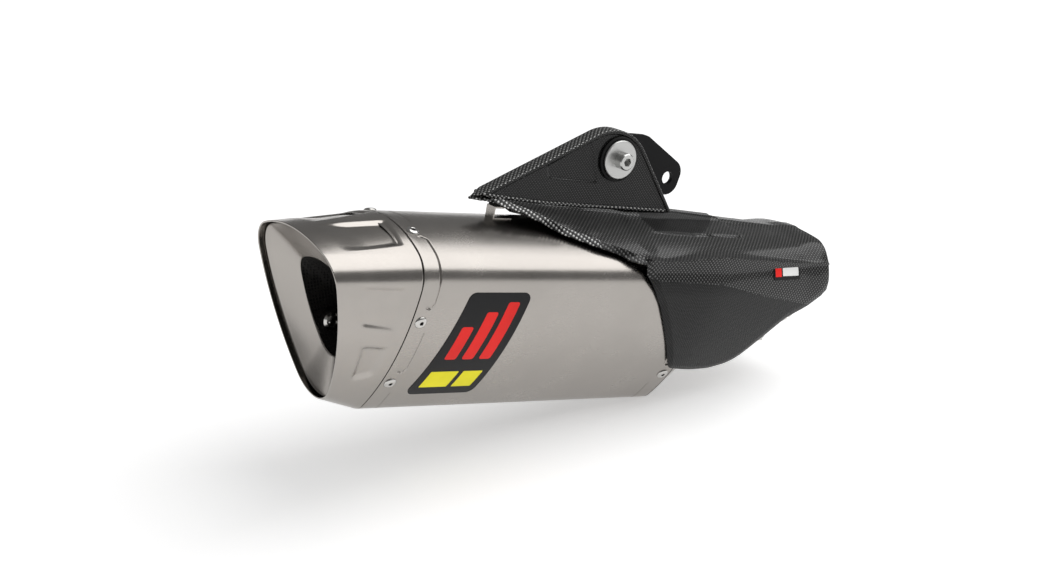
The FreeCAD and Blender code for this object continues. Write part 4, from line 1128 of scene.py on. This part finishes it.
class SilencerColours(bpy.types.PropertyGroup):
    """Colours of the silencer's finishes."""

    titanium: FloatVectorProperty(name="Titanium", description="Colour of the titanium sheet", subtype="COLOR",
                                  default=(0.385, 0.362, 0.338), min=0.0, max=1.0)
    # The dark colour is the resin between the tows and the dark end of the painted tow shading; the warp colour is
    # painted bright as a painted sheen of one tow direction.
    carbon_dark: FloatVectorProperty(name="Carbon resin and tow shade", description="Colour between the carbon tows",
                                     subtype="COLOR", default=(0.002, 0.002, 0.002), min=0.0, max=1.0)
    carbon_warp_sheen: FloatVectorProperty(name="Carbon warp sheen", description="Colour of the tows along the silencer",
                                     subtype="COLOR", default=(0.15, 0.15, 0.147), min=0.0, max=1.0)
    carbon_weft: FloatVectorProperty(name="Carbon weft", description="Colour of the tows round the silencer",
                                     subtype="COLOR", default=(0.005, 0.005, 0.005), min=0.0, max=1.0)
    label_red: FloatVectorProperty(name="Label red", description="Colour of the label's slanted bars",
                                   subtype="COLOR", default=(0.80, 0.022, 0.018), min=0.0, max=1.0)
    label_yellow: FloatVectorProperty(name="Label yellow", description="Colour of the label's foot bars",
                                      subtype="COLOR", default=(0.82, 0.74, 0.02), min=0.0, max=1.0)
    floor: FloatVectorProperty(name="Floor", description="Colour of the studio floor", subtype="COLOR",
                               default=(0.95, 0.95, 0.95), min=0.0, max=1.0)


# ---- operators ----
class SilencerPiece:
    """What every piece's operator shares."""

    bl_options = {"REGISTER", "UNDO"}

    def execute(self, context):
        self.build(context.scene.silencer_sizes, make_materials(context.scene.silencer_colours))
        return {"FINISHED"}


class SILENCER_OT_fittings(SilencerPiece, bpy.types.Operator):
    """Give every CAD piece its finish and soften the edges of the hanger, clip, clamp and damper screw fittings"""

    bl_idname = "silencer.fittings"
    bl_label = "Fittings"

    def build(self, sizes, finishes):
        for row in frame["record"]["subparts"]:
            node = frame["nodes"][row["node"]]
            node.data.materials.clear()
            node.data.materials.append(finishes[row["material_slot"]])
        for name in ("hanger_plate", "hanger_bolt", "hanger_nut", "front_clip", "clamp_band", "clamp_bolt",
                     "clamp_nut", "damper_screw"):
            fittings_bevel(frame["nodes"][name], 0.35)


class SILENCER_OT_sleeve(SilencerPiece, bpy.types.Operator):
    """Build the rolled sleeve with its pressed lines"""

    bl_idname = "silencer.sleeve"
    bl_label = "Sleeve"

    def build(self, sizes, finishes):
        finish_piece(sleeve_skin(sizes), "silencer", "titanium", finishes["titanium"], "sleeve")


class SILENCER_OT_rivets(SilencerPiece, bpy.types.Operator):
    """Build the rivet heads round both seams"""

    bl_idname = "silencer.rivets"
    bl_label = "Rivets"

    def build(self, sizes, finishes):
        for node, x in (("outlet_rivets", RIVET_INSET), ("inlet_rivets", SLEEVE_LENGTH - RIVET_INSET)):
            # The rivet recesses are painted black as shade.
            heads = rivet_heads(node + "_heads", x, finishes["stainless"], finishes["black_insert"])
            finish_piece(heads, "silencer", "stainless", None, node)


class SILENCER_OT_outlet(SilencerPiece, bpy.types.Operator):
    """Build the outlet cap and the funnel inside its lip"""

    bl_idname = "silencer.outlet"
    bl_label = "Outlet cap and funnel"

    def build(self, sizes, finishes):
        finish_piece(end_cap_shell(sizes), "silencer", "titanium_cap", finishes["titanium_cap"], "end_cap")
        finish_piece(liner_funnel(), "silencer", "titanium_cap", finishes["liner"], "end_cap_liner")


class SILENCER_OT_shield(SilencerPiece, bpy.types.Operator):
    """Build the carbon heat shield"""

    bl_idname = "silencer.shield"
    bl_label = "Heat shield"

    def build(self, sizes, finishes):
        finish_piece(heat_shield_skin(finishes), "silencer", "carbon", None, "heat_shield")
        for index, turn in enumerate(PAD_TURNS):
            pad = shield_pad("shield_pad_" + str(index), turn)
            finish_piece(pad, "silencer", "rubber", finishes["rubber"], *(("shield_pads",) if index == 0 else ()))


class SILENCER_OT_fin(SilencerPiece, bpy.types.Operator):
    """Build the carbon mounting fin with its band, sides and flanges"""

    bl_idname = "silencer.fin"
    bl_label = "Mounting fin"

    def build(self, sizes, finishes):
        # The fin's band and flanges take the brighter carbon as painted highlight.
        finish_piece(fin_band(sizes), "silencer", "carbon", finishes["highlight_rim_carbon"], "mounting_fin")
        for word, side in (("outer", -1.0), ("inner", 1.0)):
            finish_piece(fin_side("fin_side_" + word, side, sizes), "silencer", "carbon", finishes["face_carbon"])
            finish_piece(fin_flange("fin_flange_" + word, side, sizes), "silencer", "carbon",
                         finishes["highlight_rim_carbon"])


class SILENCER_OT_hanger(SilencerPiece, bpy.types.Operator):
    """Build the turned washer and the rubber bush of the hanger"""

    bl_idname = "silencer.hanger"
    bl_label = "Hanger washer and bush"

    def build(self, sizes, finishes):
        finish_piece(washer_disc(), "hanger", "aluminium", finishes["aluminium"], "large_washer")
        finish_piece(grommet_ring(), "silencer", "rubber", finishes["rubber"], "rubber_grommet")


class SILENCER_OT_label(SilencerPiece, bpy.types.Operator):
    """Build the plain label on the sleeve's outer flank"""

    bl_idname = "silencer.label"
    bl_label = "Side label"

    def build(self, sizes, finishes):
        plaque = patch("label_plaque", LABEL, 6.0, flank_y, 0.35, 80, 40)
        finish_piece(thicken(plaque, 0.3, 0.1), "silencer", "label", finishes["label"], "side_label")
        for index, bar in enumerate(LABEL_RED_BARS):
            mark = patch("label_red_bar_" + str(index), bar, 2.0, flank_y, 0.39)
            finish_piece(mark, "silencer", "label", finishes["label_red"])
        for index, bar in enumerate(LABEL_YELLOW_BARS):
            mark = patch("label_yellow_bar_" + str(index), bar, 0.8, flank_y, 0.39)
            finish_piece(mark, "silencer", "label", finishes["label_yellow"])


class SILENCER_OT_badge(SilencerPiece, bpy.types.Operator):
    """Build the small plain badge on the shield"""

    bl_idname = "silencer.badge"
    bl_label = "Shield badge"

    def build(self, sizes, finishes):
        plaque = patch("badge_plaque", BADGE, 1.5, shield_y, 0.5, 20, 24)
        finish_piece(thicken(plaque, 0.4, 0.1), "silencer", "badge", finishes["badge"], "shield_badge")
        mark = patch("badge_red_block", BADGE_RED, 0.5, shield_y, 0.56, 12, 12)
        finish_piece(mark, "silencer", "badge", finishes["label_red"])
        mark = patch("badge_white_block", BADGE_WHITE, 0.5, shield_y, 0.56, 12, 20)
        finish_piece(mark, "silencer", "badge", finishes["badge_white"])


class SILENCER_OT_stage(bpy.types.Operator):
    """Build the floor, the soft lights and the camera"""

    bl_idname = "silencer.stage"
    bl_label = "Studio"
    bl_options = {"REGISTER", "UNDO"}

    def execute(self, context):
        make_materials(context.scene.silencer_colours)
        build_floor(context.scene.silencer_colours)
        build_lights()
        build_camera()
        return {"FINISHED"}


def build_floor(colours):
    level = CAD_BOX[0].z - 0.0005
    mesh = bpy.data.meshes.new("studio_floor")
    half = 12.0
    mesh.from_pydata([(-half, -half, level), (half, -half, level), (half, half, level), (-half, half, level)], [],
                     [(0, 1, 2, 3)])
    floor = bpy.data.objects.new("studio_floor", mesh)
    floor.data.materials.append(studio_floor("studio_floor", colours.floor))
    bpy.context.scene.collection.objects.link(floor)


def build_lights():
    """One broad soft light high over the outlet's outer side, and a dim surround."""
    lamp = bpy.data.lights.new("overhead_softbox", "SUN")
    lamp.energy = 2.3
    lamp.angle = math.radians(70.0)
    softbox = bpy.data.objects.new("overhead_softbox", lamp)
    softbox.rotation_euler = Vector((0.54, -0.18, 0.82)).to_track_quat("Z", "Y").to_euler()
    bpy.context.scene.collection.objects.link(softbox)
    world = bpy.data.worlds.new("studio")
    world.use_nodes = True
    tree = world.node_tree
    seen = add(tree, "ShaderNodeLightPath").outputs["Is Camera Ray"]
    glow = sums(tree, "MULTIPLY_ADD", seen, 0.8, SURROUND_GLOW)
    tree.links.new(glow, tree.nodes["Background"].inputs["Strength"])
    tree.nodes["Background"].inputs["Color"].default_value = (1.0, 1.0, 1.0, 1.0)
    bpy.context.scene.world = world


def build_camera():
    """Long lens above and in front of the outlet's corner."""
    lens = bpy.data.cameras.new("camera")
    lens.lens = 63.02
    lens.sensor_width = 36.0
    lens.clip_start, lens.clip_end = 0.05, 50.0
    camera = bpy.data.objects.new("camera", lens)
    camera.location = (-1.0022, -1.0650, 0.5272)
    camera.rotation_euler = Vector((0.5390, 0.7698, -0.3420)).to_track_quat("-Z", "Y").to_euler()
    bpy.context.scene.collection.objects.link(camera)
    bpy.context.scene.camera = camera


class SILENCER_PT_panel(bpy.types.Panel):
    """Buttons for every piece and the studio"""

    bl_idname = "SILENCER_PT_panel"
    bl_label = "Racing silencer"
    bl_space_type = "VIEW_3D"
    bl_region_type = "UI"
    bl_category = "Silencer"

    def draw(self, context):
        for operator in OPERATORS:
            self.layout.operator(operator.bl_idname)
        for group in (context.scene.silencer_sizes, context.scene.silencer_colours):
            box = self.layout.box()
            for key in group.__annotations__:
                box.prop(group, key)


OPERATORS = (SILENCER_OT_fittings, SILENCER_OT_sleeve, SILENCER_OT_rivets, SILENCER_OT_outlet, SILENCER_OT_shield, SILENCER_OT_fin,
             SILENCER_OT_hanger, SILENCER_OT_label, SILENCER_OT_badge, SILENCER_OT_stage)
CLASSES = (SilencerSizes, SilencerColours, *OPERATORS, SILENCER_PT_panel)


def register():
    for item in CLASSES:
        bpy.utils.register_class(item)
    bpy.types.Scene.silencer_sizes = PointerProperty(type=SilencerSizes)
    bpy.types.Scene.silencer_colours = PointerProperty(type=SilencerColours)


def unregister():
    del bpy.types.Scene.silencer_colours
    del bpy.types.Scene.silencer_sizes
    for item in reversed(CLASSES):
        bpy.utils.unregister_class(item)


def main():
    register()
    for operator in OPERATORS:
        group, name = operator.bl_idname.split(".")
        getattr(getattr(bpy.ops, group), name)()
    bpy.context.scene.view_settings.view_transform = "Standard"


if __name__ == "__main__":
    main()
